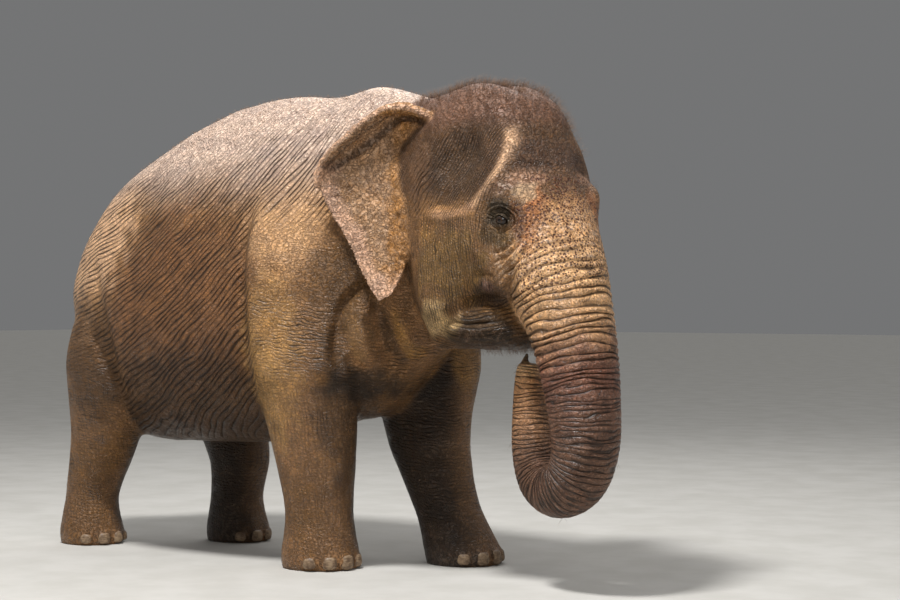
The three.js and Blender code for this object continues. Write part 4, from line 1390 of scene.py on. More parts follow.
@dataclass
class HidePaint:
    """Large colours of the hide, mixed from named tones by place, painted light and shade among them."""

    hide: Hide
    zones: PaintZones = PaintZones()
    sand: str = "8d6b4d"
    brown: str = "6f5032"
    # dust on the upper body, partly painted light where the top light falls
    dust_and_painted_light: str = "b59e90"
    olive: str = "7c5a30"
    # under: a dark tone for painted shade under the belly and behind the cheek; the lower legs take some
    # too, darker towards the feet
    under: str = "2b1b09"
    # inside: the painted shade on the legs' inner faces
    inside: str = "1c1107"
    crown: str = "4f3724"
    crown_red: str = "674838"
    trunk_tan: str = "dcad7c"
    trunk_red: str = "573a2e"
    trunk_rust: str = "94594a"
    # the upturned end and the tip of the trunk: paler, partly their own tone, partly painted light
    rise_lit_tone: str = "cf9a6c"
    trunk_tip: str = "f0cb9c"
    ear: str = "937356"
    ear_gold: str = "94662f"
    ear_pale: str = "b08c74"
    # the painted shadow under the ear's roll
    ear_roll_shadow: str = "3c2615"
    warmth: tuple = (1.0, 0.94, 0.76)
    cloud_cell: float = 0.35
    small_cell: float = 0.07
    ear_edge_z: tuple = (1.26, 1.31, 1.41, 1.51, 1.62, 1.7, 1.81, 1.93)
    ear_edge_x: tuple = (1.17, 1.12, 1.07, 1.02, 0.976, 0.92, 0.89, 0.9)
    ear_line_share: float = 0.75

    def coat(self) -> tuple[Array, Array]:
        """The colour and marks of each point.

        Returns:
            Linear colours, and how thickly freckles, dark specks and pale specks stand.
        """
        hide, zones = self.hide, self.zones
        points = hide.mesh.points
        head = hide.measures.to_head(points)
        z = points[:, 2]
        hx, hz = head[:, 0], head[:, 2]
        cloud = Noise(201)(points / self.cloud_cell)
        self.small = small = Noise(202)(points / self.small_cell)
        on_head, on_trunk, ear, body, fore, hind, foot = hide.shares(
            Region.HEAD, Region.TRUNK, Region.EAR, Region.BODY, Region.FORELEG, Region.HINDLEG, Region.FOOT)
        trunk, run = hide.on_trunk, hide.run
        legs = fore + hind + foot
        self.result = np.tile(tone(self.sand), (len(points), 1))
        self._mix(self.brown, 0.42 + 0.38 * cloud - 0.3 * zones.brown_z(z))
        self._mix(self.olive, 0.5 * zones.olive_cloud(cloud + 0.5 * small) * zones.olive_z(z))
        # painted shade under the belly
        self._mix(self.under, 0.85 * body * zones.belly_shade_z(z))
        self._mix(self.under, 0.3 * legs * zones.low_leg_z(z))
        # painted shade on the legs' inner faces
        self._mix(self.inside, 0.92 * legs * self._leg_inner_shade())
        flesh = np.clip(body + legs, 0, 1) * (1 - ear)
        self._patches(Axes.BODY, points, flesh)
        # painted shadow on the neck behind the cheek
        self._mix(self.under, 0.75 * body * zones.cheek_shadow_x(hx) * zones.cheek_shadow_z(hz))
        self.result = self.result * np.array(self.warmth)
        # the upper body paler: dust, and partly painted light from above
        self._mix(self.dust_and_painted_light, 0.9 * body * zones.dust_and_light_z(z + 0.05 * cloud))
        self._mix(self.crown, on_head * 0.85 * zones.crown_z(hz))
        self._mix(self.crown_red, on_head * 0.8 * zones.crown_red_z(hz + 0.02 * cloud))
        face = trunk * zones.face_z(hz) * zones.face_x(hx)
        self._mix(self.trunk_tan, np.maximum(face, on_trunk))
        self._mix(self.trunk_red, np.clip(trunk * zones.red_run(run + 0.05 * small), 0, 1) * 0.93)
        self._mix(self.trunk_rust, 0.3 * trunk * zones.rust_run(run + 0.04 * small))
        # the trunk's upturned end and tip paler: partly their own tone, partly painted light
        self._mix(self.rise_lit_tone, trunk * zones.rise_run(run) * 0.95)
        self._mix(self.trunk_tip, trunk * zones.tip_run(run) * 0.92)
        self._patches(Axes.HEAD, head, on_head + on_trunk * 0.8)
        self._strokes(Axes.HEAD, head, on_head)
        self._strokes(Axes.BODY, points, flesh * (points[:, 1] < -0.1))
        self._ears(ear, head, cloud)
        return self.result, self._marks(head)

    def _mix(self, code: str, share: Array) -> None:
        """Mixes a tone in by a share of 0 to 1."""
        share = np.clip(share, 0, 1)[:, None]
        self.result = self.result * (1 - share) + tone(code) * share

    def _patches(self, axes: Axes, places: Array, mask: Array) -> None:
        """Mixes in the patches that are placed in one pair of axes.

        Args:
            axes: the axes.
            places: the points in these axes.
            mask: where the patches may lie.
        """
        flat = np.column_stack([places[:, 0], np.abs(places[:, 1]), places[:, 2]])
        for patch in PATCHES[axes]:
            far = np.linalg.norm((flat - np.array(patch.middle)) / np.array(patch.reach), axis=1)
            share = np.where(places[:, 1] > 0, patch.left, 1.0) * patch.share
            self._mix(patch.code, mask * share * self.zones.patch_edge(far + patch.ragged * self.small))

    def _strokes(self, axes: Axes, places: Array, mask: Array) -> None:
        """Draws the strokes that are placed in one pair of axes, fainter on the left.

        Args:
            axes: the axes.
            places: the points in these axes.
            mask: where the strokes may lie.
        """
        for stroke in STROKES[axes]:
            away = nearest_on(smooth_path(np.array(stroke.line), 4), places[:, [0, 2]])[0]
            share = stroke.share * rise(away + 0.01 * self.small, stroke.wide, 0.0)
            share = share * np.where(places[:, 1] > 0, stroke.left, 1.0)
            self._mix(stroke.code, mask * share * self.zones.stroke_y(np.abs(places[:, 1])))

    def _leg_inner_shade(self) -> Array:
        """How far each point faces the midline, where the legs take painted shade."""
        inward = -self.hide.mesh.normals()[:, 1] * np.sign(self.hide.mesh.points[:, 1])
        return self.zones.inward(inward)

    def _ears(self, ear: Array, head: Array, cloud: Array) -> None:
        """Colours the ears: tan, golden by the root, pale along the rear edge and at the tip, with a painted
        shadow under the roll and a pale line along it.

        Args:
            ear: how far each point belongs to the ears.
            head: the points in the unturned head's axes.
            cloud: broad noise.
        """
        hx, hz = head[:, 0], head[:, 2]
        zones, small = self.zones, self.small
        self._mix(self.ear, ear)
        self._mix(self.ear_gold, ear * 0.75 * zones.ear_gold_x(hx + 0.03 * small))
        self._mix(self.ear_gold, ear * 0.18 * zones.ear_gold_cloud(small + 0.4 * cloud))
        edge = np.interp(hz, self.ear_edge_z, self.ear_edge_x)
        margin = zones.ear_margin_x(hx - edge + 0.015 * small) * zones.ear_margin_z(hz)
        tip = zones.ear_tip_z(hz + 0.03 * small)
        self._mix(self.ear_pale, ear * np.clip(margin + tip, 0, 1) * 0.85)
        flat = np.column_stack([hx, hz])
        # painted shadow under the roll, a pale line along it
        lines = {"under the roll": (self.ear_roll_shadow, 0.022), "roll": (self.ear_pale, 0.02)}
        for fold in EAR_FOLDS:
            if fold.name in lines:
                code, wide = lines[fold.name]
                away = nearest_on(smooth_path(np.array(fold.line), 4), flat)[0]
                self._mix(code, ear * self.ear_line_share * rise(away, wide, 0.3 * wide))

    def _marks(self, head: Array) -> Array:
        """How thickly each point is sown with freckles, dark specks and pale specks.

        Args:
            head: the points in the unturned head's axes.

        Returns:
            Three shares for each point.
        """
        hide, zones = self.hide, self.zones
        hx, hz = head[:, 0], head[:, 2]
        x, _, z = hide.mesh.points.T
        on_head, on_trunk, ear, body = hide.shares(Region.HEAD, Region.TRUNK, Region.EAR, Region.BODY)
        cream = np.hypot((hx - 1.967) / 0.034, (hz - 1.755) / 0.052)
        front = (on_head + on_trunk) * zones.freckle_z(hz) * zones.freckle_x(hx)
        freckle = front * zones.freckle_run(hide.run) * zones.off_cream(cream)
        speckle = on_head * zones.speckle_x(hx) * zones.speckle_z(hz)
        freckle = np.clip(1.2 * freckle + speckle, 0, 1) * zones.off_eye(hide.from_eye)
        dark = np.clip(body * zones.dark_z(z) * zones.dark_x(x) + 0.1 * ear, 0, 1)
        # pale: where the crests take dust and painted highlight, most on the upper body
        pale = (0.8 * body * zones.pale_z(z) + 0.14 * ear + 0.6 * speckle
                + hide.on_trunk * (0.16 + 0.5 * zones.pale_run(hide.run)) + 0.1)
        return np.column_stack([freckle, dark, np.clip(pale, 0, 1)])


@dataclass(frozen=True)
class HideFinish:
    """Dusty, creased elephant skin, with painted shade in its creases and painted highlights on its crests.
    Each texture has how many of its cells lie in a metre.
    """

    # the groove colour is the painted shade in the creases, and also the colour of the dark specks
    groove: str = "1c1107"
    freckle: str = "451a0a"
    # pale dust on the crests, partly a painted highlight
    dust_and_painted_light: str = "ead4be"
    roughness: tuple = (0.28, 0.58)
    specular: float = 0.42
    # how strongly and how darkly the creases are painted with shade
    dirt_and_crease_shade: float = 0.98
    crease_shade_share: float = 0.8
    # painted highlight: the crests between creases lightened by this share and tone
    crest_highlight: float = 0.56
    crest_highlight_tone: tuple = (1.95, 1.88, 1.8, 1.0)
    crease_depth: float = 0.013
    grain_depth: float = 0.0022
    pebble_share: float = 0.8
    net_line: float = 0.19
    net_deep: float = 0.42
    small_deep: float = 0.3
    freckle_share: float = 0.88
    speck_share: float = 0.75
    dust_and_light_share: float = 0.55
    blotch_range: tuple = ((0.8, 1.24), (0.79, 1.22), (0.8, 1.16))
    wander_cells: float = 24.0
    break_cells: float = 17.0
    net_cells: float = 44.0
    pebble_cells: float = 88.0
    pore_cells: float = 190.0
    gloss_cells: float = 20.0
    blotch_cells: float = 9.0
    grit_cells: float = 130.0
    freckle_cells: float = 78.0
    speck_cells: float = 27.0
    dust_cells: float = 34.0

    def material(self) -> Material:
        """The hide's material: creases on six lays, pebbled skin, freckles, dust, painted shade and painted
        highlights.

        Returns:
            The material.
        """
        shade = Shade("hide")
        where = shade.here()
        lines, depth = self._all_creases(shade, where)
        pebbles = shade.ramp(shade.cells(where, self.pebble_cells), 0.25, 0.8)
        pores = shade.noise(where, self.pore_cells, 3.0, 0.65)
        patchy = shade.noise(where, self.gloss_cells, 4.0)
        rough = shade.math("SUBTRACT", pores, shade.times(pebbles, self.pebble_share))
        grain = shade.bump(rough, self.grain_depth)
        return shade.finish(
            Base_Color=self._colour(shade, where, lines),
            Roughness=shade.ramp(patchy, 0.3, 0.75, *self.roughness),
            Specular_IOR_Level=self.specular,
            Normal=shade.bump(shade.times(depth, -1.0), self.crease_depth, grain),
        )

    def _all_creases(self, shade: Shade, where: Value) -> tuple[Value, Value]:
        """Joins the creases of all lays, broken here and there, and a net of fine ones.

        Args:
            shade: the material's nodes.
            where: the place on the hide.

        Returns:
            How clearly creases show, and how deep they are.
        """
        wander = shade.noise(where, self.wander_cells, 2.0, 0.5)
        breaks = shade.ramp(shade.noise(where, self.break_cells, 2.0, 0.5), 0.36, 0.58, 0.62, 1.0)
        lines = depth = None
        for group, names in LAY_GROUPS.items():
            columns = [shade.split(f"{title}_{group}") for title in ("phase", "along", "depth")]
            for name, phase, along, strength in zip(names, *columns):
                part = self._creases(shade, LAYS[name], phase, along, strength, wander)
                low = shade.times(part, LAYS[name].deep)
                lines = part if lines is None else shade.math("ADD", lines, part)
                depth = low if depth is None else shade.math("ADD", depth, low)
        level = shade.math("SUBTRACT", shade.noise(where, self.net_cells, 3.0, 0.55), 0.5)
        net = shade.ramp(shade.math("ABSOLUTE", level), 0.085, 0.0)
        lines = shade.math("MAXIMUM", shade.times(lines, breaks), shade.times(net, self.net_line))
        return lines, shade.math("MAXIMUM", shade.times(depth, breaks), shade.times(net, self.net_deep))

    def _groove(self, shade: Shade, phase: Value, narrow: float, share: float) -> Value:
        """Grooves between rounded crests, from a count of wrinkles, up to a share of the deepest."""
        swing = shade.math("ABSOLUTE", shade.math("SINE", shade.times(phase, math.pi)))
        return shade.math("MULTIPLY_ADD", shade.math("POWER", swing, narrow), -share, share)

    def _creases(self, shade: Shade, lay: Lay, phase: Value, along: Value, strength: Value,
                 wander: Value) -> Value:
        """One lay's creases: main ones, others across them and fine ones between.

        Args:
            shade: the material's nodes.
            lay: the lay.
            phase: how many wrinkles lie before each place.
            along: the coordinate along them.
            strength: how strongly they show.
            wander: noise that bends the creases.

        Returns:
            How deep the creases lie, from 0 to 1.
        """
        deep = self._groove(shade, phase, lay.narrow, 1.0)
        bent = shade.math("MULTIPLY_ADD", along, lay.crossed, shade.times(wander, 1.6))
        crossed = self._groove(shade, shade.math("MULTIPLY_ADD", phase, 0.55, bent), 0.5, lay.net)
        back = shade.math("MULTIPLY_ADD", along, -1.6 * lay.crossed, shade.times(wander, 3.0))
        small = self._groove(shade, shade.math("MULTIPLY_ADD", phase, 2.3, back), 0.5, self.small_deep)
        return shade.times(shade.math("MAXIMUM", deep, shade.math("MAXIMUM", crossed, small)), strength)

    def _colour(self, shade: Shade, where: Value, lines: Value) -> Value:
        """The hide's colour: blotches, freckles, specks, dust and painted highlights on crests, painted
        shade in creases.

        Args:
            shade: the material's nodes.
            where: the place on the hide.
            lines: how clearly creases show.

        Returns:
            The colour.
        """
        freckle, dark, pale = shade.split("marks")
        blotch = shade.noise(where, self.blotch_cells, 5.0, 0.62)
        channels = [shade.ramp(blotch, 0.25, 0.75, low, high) for low, high in self.blotch_range]
        varied = shade.scaled(shade.read("tint", "Color"), *channels)
        gritty = shade.ramp(shade.noise(where, self.grit_cells, 3.0, 0.7), 0.34, 0.66, 0.72, 1.26)
        varied = shade.scaled(varied, gritty, gritty, gritty)
        spot = shade.ramp(shade.cells(where, self.freckle_cells), 0.5, 0.32)
        varied = shade.mix(shade.times(spot, freckle, self.freckle_share), varied, colour(self.freckle))
        speck = shade.ramp(shade.cells(where, self.speck_cells), 0.2, 0.12)
        varied = shade.mix(shade.times(speck, dark, self.speck_share), varied, colour(self.groove))
        # painted highlight: the crests, away from the creases, lightened
        crest_highlight = shade.ramp(lines, 0.22, 0.0)
        varied = shade.mix(shade.times(crest_highlight, self.crest_highlight), varied, self.crest_highlight_tone, "MULTIPLY")
        # dust on the crests, partly painted highlight
        dust_and_sheen = shade.times(shade.ramp(shade.noise(where, self.dust_cells, 3.0, 0.6), 0.4, 0.62), pale)
        varied = shade.mix(shade.times(crest_highlight, dust_and_sheen, self.dust_and_light_share), varied, colour(self.dust_and_painted_light))
        # painted shade: the creases mixed towards the groove colour
        crease_shading = shade.times(shade.ramp(lines, 0.24, 0.68), self.dirt_and_crease_shade)
        return shade.mix(crease_shading, varied, shade.mix(self.crease_shade_share, varied, colour(self.groove)))


# ---------------- eyes
@dataclass(frozen=True)
class EyeFinish:
    """Dark wet eye: brown iris, black pupil, dark white."""

    white: str = "211812"
    iris: str = "38220f"
    pupil: str = "050404"
    pupil_edge: tuple = (0.16, 0.2)
    iris_edge: tuple = (0.4, 0.46)
    coat: float = 0.45
    coat_roughness: float = 0.03
    specular: float = 0.28

    def material(self) -> Material:
        """The eye's material, from how far each point lies off the eye's axis.

        Returns:
            The material.
        """
        shade = Shade("eye")
        off = shade.read("off_axis", "Fac")
        threads = shade.noise(shade.read("eye_place"), 60.0, 4.0)
        iris = shade.mix(shade.ramp(threads, 0.35, 0.7), colour(self.iris), colour(self.white))
        inner = shade.mix(shade.ramp(off, *self.pupil_edge), colour(self.pupil), iris)
        outer = shade.mix(shade.ramp(off, *self.iris_edge), inner, colour(self.white))
        wet = shade.ramp(threads, 0.2, 0.8, 0.06, 0.14)
        return shade.finish(Base_Color=outer, Roughness=wet, Specular_IOR_Level=self.specular,
                            Coat_Weight=self.coat, Coat_Roughness=self.coat_roughness)


@dataclass
class Eyes:
    """The two eyeballs, each with the bulge of its cornea."""

    hide: Hide
    radius: float = 0.0288
    cornea: float = 0.0022
    cornea_wide: float = 0.42
    full_turn: float = 1.2
    rings: int = 40
    sides: int = 56

    def build(self, finish: Material) -> list[Object]:
        """Makes both eyes in their sockets."""
        return [self._eye(side, finish) for side in SIDES]

    def _eye(self, side: str, finish: Material) -> Object:
        """Makes one eyeball, its pole along the way it looks.

        Args:
            side: right or left.
            finish: the eye's material.

        Returns:
            The eyeball.
        """
        centre, across, up, out = self.hide.eye_axes[side]
        points, off = [], []
        for i in range(self.rings + 1):
            angle = math.pi * i / self.rings
            reach = self.radius + self.cornea * math.exp(-((angle / self.cornea_wide) ** 2))
            for k in range(self.sides):
                turn = 2 * math.pi * k / self.sides
                aside = math.cos(turn) * across + math.sin(turn) * up
                points.append(centre + reach * (math.cos(angle) * out + math.sin(angle) * aside))
                off.append(angle / self.full_turn)
        points = np.array(points)
        made = object_from(
            f"eyeball_{side}", to_frame(points, self.hide.shift),
            np.array(ring_loops(self.rings + 1, self.sides)), np.full(self.rings * self.sides, 4))
        add_attribute(made, "off_axis", "FLOAT", np.array(off))
        add_attribute(made, "eye_place", "FLOAT_VECTOR", points - centre)
        weld(made)
        made.data.materials.append(finish)
        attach(made, "root")
        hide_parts(f"eye_{side}")
        return made


# ---------------- toenails
@dataclass(frozen=True)
class NailFinish:
    """Worn horn: pale and streaked, with patches of dirt."""

    horn: str = "a0876a"
    dirt_and_crease_shade: str = "5a4330"
    streak_long: float = 5.0
    groove_depth: float = 0.0015

    def material(self) -> Material:
        """The nails' material.

        Returns:
            The material.
        """
        shade = Shade("toenail")
        where = shade.here()
        stretched = shade.node("ShaderNodeMapping", Vector=where, Scale=(1.0, 1.0, self.streak_long))
        streaks = shade.noise(stretched.outputs[0], 42.0, 5.0, 0.65)
        mixed = shade.times(streaks, shade.noise(where, 30.0, 4.0, 0.6))
        tint = shade.mix(shade.ramp(mixed, 0.12, 0.38), colour(self.dirt_and_crease_shade), colour(self.horn))
        return shade.finish(Base_Color=tint, Roughness=shade.ramp(streaks, 0.3, 0.8, 0.42, 0.7),
                            Normal=shade.bump(streaks, self.groove_depth, None, 0.5))


@dataclass(frozen=True)
class ToeSet:
    """How many nails a foot has, how big they are and how they stand round its front."""

    count: int
    spread: float
    turn: float
    wide: float
    high: float
    deep: float
    height: float
    sole_long: float
    inner: float
    outer: float


FORE_TOES = ToeSet(5, 2.1, 0.12, 0.044, 0.036, 0.013, 0.04, 0.192, 0.095, 0.452)
HIND_TOES = ToeSet(4, 1.75, 0.1, 0.039, 0.033, 0.012, 0.037, 0.172, 0.115, 0.436)


@dataclass
class Toenails:
    """The nails of all four feet, one piece a foot."""

    shift: float
    steps: int = 14
    sunk: float = 0.012
    sunk_size: float = 0.94
    rim: float = -0.004
    proud: float = 0.0035
    shrink: float = 0.4
    squareness: float = 0.75
    roundness: float = 3.2
    curl: float = 6.0
    lean: float = 0.1
    floor_gap: float = 0.0015
    feet: tuple = (
        ("forefoot_right", -1, 0.578, FORE_TOES), ("forefoot_left", 1, 1.022, FORE_TOES),
        ("hindfoot_right", -1, -1.04, HIND_TOES), ("hindfoot_left", 1, -0.5, HIND_TOES),
    )

    def build(self, finish: Material) -> list[Object]:
        """Makes each foot's nails.

        Args:
            finish: the nails' material.

        Returns:
            One piece for each foot.
        """
        made = []
        for node, side, x, toes in self.feet:
            nails = [self._nail(i, side, x, toes) for i in range(toes.count)]
            each, sides = len(nails[0]), 4 * self.steps
            loops = [corner for first in range(0, toes.count * each, each)
                     for corner in ring_loops(each // sides, sides, first)]
            piece = object_from(f"toenails_{node}", to_frame(np.vstack(nails), self.shift),
                                np.array(loops), np.full(len(loops) // 4, 4))
            weld(piece)
            piece.data.materials.append(finish)
            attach(piece, "root")
            made.append(piece)
        return made

    def _nail(self, i: int, side: int, x: float, toes: ToeSet) -> Array:
        """Shapes one nail: a domed plate, with its back sunk in the foot.

        Args:
            i: which nail of the foot it is.
            side: -1 for the animal's right, 1 for its left.
            x: where the foot's middle stands.
            toes: the foot's set of nails.

        Returns:
            The points of its rings, from its back to the top of its dome.
        """
        share = i / (toes.count - 1) - 0.5
        angle = side * (toes.turn + toes.spread * share)
        size = 1 - abs(share) * self.shrink
        wide, high = toes.wide * size, toes.high
        centre = np.array([
            x + toes.sole_long * math.cos(angle),
            side * (toes.inner + toes.outer) / 2 + (toes.outer - toes.inner) / 2 * math.sin(angle),
            toes.height,
        ])
        out = np.array([math.cos(angle), math.sin(angle), 0.0])
        across = np.array([-math.sin(angle), math.cos(angle), 0.0])
        rings = [(self.steps - k) / self.steps for k in range(self.steps + 1)]
        domes = [self.rim + (toes.deep + self.proud - self.rim) * max(0.0, 1 - ring**self.roundness) ** 0.5
                 for ring in rings]
        points = []
        for away, ring in zip([-self.sunk, *domes], [self.sunk_size, *rings]):
            for k in range(4 * self.steps):
                turn = 2 * math.pi * k / (4 * self.steps)
                c, s = math.cos(turn), math.sin(turn)
                side_way = math.copysign(abs(c) ** self.squareness, c) * ring
                up_way = math.copysign(abs(s) ** self.squareness, s) * ring
                bent = away - self.curl * (side_way * wide) ** 2 - self.lean * up_way * high
                point = centre + out * bent + across * wide * side_way
                point[2] = max(point[2] + high * size * up_way, self.floor_gap)
                points.append(point)
        return np.array(points)


# ---------------- hair
@dataclass(frozen=True)
class HairFinish:
    """Coarse hair in two shades."""

    name: str
    light: str
    dark: str

    def material(self) -> Material:
        """The hair's material, its shade changing from tuft to tuft.

        Returns:
            The material.
        """
        shade = Shade(self.name)
        each = shade.noise(shade.here(), 60.0, 2.0)
        tint = shade.mix(shade.ramp(each, 0.35, 0.65), colour(self.dark), colour(self.light))
        return shade.finish(Base_Color=tint, Roughness=shade.ramp(each, 0.2, 0.8, 0.45, 0.65))


@dataclass(frozen=True)
class Growth:
    """One stretch of hair: how many tufts, hairs a tuft, length, thickness, stance, flow and bends."""

    name: str
    tufts: int
    hairs: int
    long: float
    thick: float
    stand: float
    flow: tuple
    seed: int
    bends: int = 3


@dataclass
class Coat:
    """Sparse hair rooted in the hide, as solid tapering hairs in small tufts."""

    hide: Hide
    tuft_wide: float = 0.003
    root_deep: float = 0.0015
    aside: float = 0.28
    taper: float = 0.75
    patch: float = 0.003
    map_rim: float = 0.01
    map_wide: float = 0.97
    map_centre_z: float = 1.3
    map_rear: float = -1.5
    map_long: float = 4.0

    def grow(self, growth: Growth, weight: Array, finish: Material) -> Object:
        """Grows one stretch of hair.

        Args:
            growth: the stretch.
            weight: for each point of the hide, how thickly hair stands there.
            finish: the hair's material.

        Returns:
            The stretch as one piece.
        """
        draw = np.random.default_rng(growth.seed)
        mesh = self.hide.mesh
        corners = mesh.points[mesh.corners]
        area = np.linalg.norm(np.cross(corners[:, 2] - corners[:, 0], corners[:, 3] - corners[:, 1]), axis=1)
        chance = area * weight[mesh.corners].mean(1)
        faces = draw.choice(len(chance), size=growth.tufts, p=chance / chance.sum())
        a, b = draw.random((2, growth.tufts, 1))
        p = corners[faces]
        roots = (1 - a) * (1 - b) * p[:, 0] + a * (1 - b) * p[:, 1] + a * b * p[:, 2] + (1 - a) * b * p[:, 3]
        normal = unit(np.cross(p[:, 2] - p[:, 0], p[:, 3] - p[:, 1]))
        roots = np.repeat(roots, growth.hairs, axis=0)
        normal = np.repeat(normal, growth.hairs, axis=0)
        count = len(roots)
        aside = draw.normal(size=(count, 3))
        aside -= normal * (aside * normal).sum(1)[:, None]
        roots = roots + self.tuft_wide * aside - self.root_deep * normal
        flow = np.array(growth.flow) - normal * (normal @ np.array(growth.flow))[:, None]
        way = unit(growth.stand * normal + flow + self.aside * aside)
        droop = unit(way + 0.9 * flow - 0.25 * normal + 0.3 * draw.normal(size=(count, 3)))
        long = growth.long * (0.55 + 0.6 * draw.random(count))[:, None]
        steps = np.arange(growth.bends + 1) / growth.bends
        line = np.stack([roots + long * (s * way * (1 - 0.5 * s) + 0.5 * s * s * droop)
                         for s in steps], axis=1)
        return self.hairs(growth, line, roots, finish)

    def hairs(self, growth: Growth, line: Array, roots: Array, finish: Material) -> Object:
        """Makes three-sided hairs along lines of points, closed at both ends.

        Args:
            growth: the stretch they belong to.
            line: the points of each hair's line, from root to tip.
            roots: where the hairs stand.
            finish: the hair's material.

        Returns:
            The hairs as one piece.
        """
        count, rings = line.shape[:2]
        along = unit(line[:, -1] - line[:, 0])
        guide = np.where(np.abs(along[:, 2:3]) > 0.9, [[1.0, 0, 0]], [[0, 0, 1.0]])
        first = unit(np.cross(along, guide))
        second = np.cross(along, first)
        tip = 3 * (rings - 1)
        points = np.empty((count, tip + 1, 3))
        for r in range(rings - 1):
            half = growth.thick / 2 * (1 - self.taper * r / (rings - 1))
            for k in range(3):
                turn = 2 * math.pi * k / 3
                points[:, 3 * r + k] = line[:, r] + half * (math.cos(turn) * first + math.sin(turn) * second)
        points[:, tip] = line[:, -1]
        faces = [(2, 1, 0)]
        for r in range(rings - 2):
            for k in range(3):
                a, b = 3 * r + k, 3 * r + (k + 1) % 3
                faces += [(a, b, b + 3), (a, b + 3, a + 3)]
        faces += [(tip - 3 + k, tip - 3 + (k + 1) % 3, tip) for k in range(3)]
        loops = (np.array(faces)[None] + (tip + 1) * np.arange(count)[:, None, None]).ravel()
        made = object_from(growth.name, to_frame(points.reshape(-1, 3), self.hide.shift), loops,
                           np.full(count * len(faces), 3))
        self._map(made, np.repeat(self._unwrap(roots), len(faces) * 3, axis=0), loops, tip + 1)
        made.data.materials.append(finish)
        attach(made, "root")
        LOG.info("%s: %d hairs, %d faces", growth.name, count, count * len(faces))
        return made

    def _unwrap(self, roots: Array) -> Array:
        """Places on the bake map, of the hide opened out round the body's long axis."""
        turn = np.arctan2(roots[:, 1], roots[:, 2] - self.map_centre_z) / (2 * math.pi) + 0.5
        along = np.clip((roots[:, 0] - self.map_rear) / self.map_long, 0, 1)
        return self.map_rim + self.map_wide * np.column_stack([along, turn])

    def _map(self, made: Object, home: Array, loops: Array, each: int) -> None:
        """Gives every hair a small patch of the bake map at its root's place.

        Args:
            made: the hairs.
            home: for each corner, its root's place on the map.
            loops: the corners of all faces in one row.
            each: how many points a hair has.
        """
        spot = loops % each
        offset = np.column_stack([(spot % 3) / 2.0, (spot // 3) / max(1, each // 3)]) * self.patch
        layer = made.data.uv_layers.new(name="OFBake")
        layer.data.foreach_set("uv", (home + offset).astype(np.float32).ravel())


# ---------------- tail tuft
@dataclass
class TailTuft:
    """The tail's end with its two fans of long bristles."""

    coat: Coat
    path: tuple = ((-1.3155, 0.93), (-1.314, 0.87), (-1.309, 0.785), (-1.302, 0.7))
    radius: tuple = (0.026, 0.023, 0.0205, 0.016)
    bristles: int = 620
    long: float = 0.262
    thick: float = 0.0026
    spread: float = 0.36
    sway: float = 0.12
    bends: int = 5
    seed: int = 77
    stump_sides: int = 20
    stump_flat: float = 1.1
    stump_tip: float = 0.4

    def build(self, hair: Material, finish: Material) -> list[Object]:
        """Makes the bristles and the short stump of skin they stand on.

        Args:
            hair: the bristles' material.
            finish: the skin's material.

        Returns:
            The bristles and the stump.
        """
        draw = np.random.default_rng(self.seed)
        path = smooth_path(np.array([(x, 0.0, z) for x, z in self.path]), 6)
        last = len(path) - 1
        where = draw.random(self.bristles) ** 0.8
        spot = where * last
        low = np.minimum(spot.astype(int), last - 1)
        middle = path[low] + (spot - low)[:, None] * (path[low + 1] - path[low])
        way = np.where(draw.random(self.bristles) < 0.5, 1.0, -1.0)
        reach = self._reach(spot / last)
        roots = middle + np.column_stack([way * reach * 0.7, 0.5 * reach * draw.normal(size=self.bristles),
                                          np.zeros(self.bristles)])
        lean = way * self.spread * (1 - 0.72 * where) * (0.35 + 0.85 * draw.random(self.bristles))
        sway = self.sway * draw.normal(size=self.bristles)
        long = self.long * (0.62 + 0.42 * draw.random(self.bristles))
        line = np.stack([roots + np.column_stack([
            np.sin(lean * (1 - 0.25 * s)) * long * s,
            np.sin(sway) * long * s,
            -np.cos(lean) * long * s,
        ]) for s in np.linspace(0, 1, self.bends + 1)], axis=1)
        growth = Growth("tail_bristles", self.bristles, 1, self.long, self.thick, 1.0, (0, 0, -1),
                        self.seed, self.bends)
        made = self.coat.hairs(growth, line, roots, hair)
        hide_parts("tail_tuft")
        return [made, self._stump(path, finish)]

    def _reach(self, share: Array) -> Array:
        """The tail's radius at a share of its path."""
        return np.interp(share, np.linspace(0, 1, len(self.radius)), self.radius)

    def _stump(self, path: Array, finish: Material) -> Object:
        """Makes the last of the tail's flesh, inside the bristles.

        Args:
            path: the tail's middle line.
            finish: the skin's material.

        Returns:
            The stump.
        """
        sides = self.stump_sides
        reach = self._reach(np.linspace(0, 1, len(path)))
        reach[-1] *= self.stump_tip
        points = []
        for spot, half in zip(path, reach):
            for k in range(sides):
                turn = 2 * math.pi * k / sides
                points.append(spot + half * np.array([self.stump_flat * math.cos(turn), math.sin(turn), 0]))
        loops = ring_loops(len(path), sides)
        totals = [4] * (len(loops) // 4) + [sides, sides]
        loops += list(range(sides)) + list(range(len(points) - 1, len(points) - 1 - sides, -1))
        made = object_from("tail_end", to_frame(np.array(points), self.coat.hide.shift), np.array(loops),
                           np.array(totals))
        weld(made)
        made.data.materials.append(finish)
        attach(made, "root")
        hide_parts("tail_tuft")
        return made


# ---------------- studio
@dataclass(frozen=True)
class Lamp:
    """A square soft light: where it hangs, what it is aimed at, its size and its power."""

    name: str
    place: tuple
    aim: tuple
    size: float
    power: float


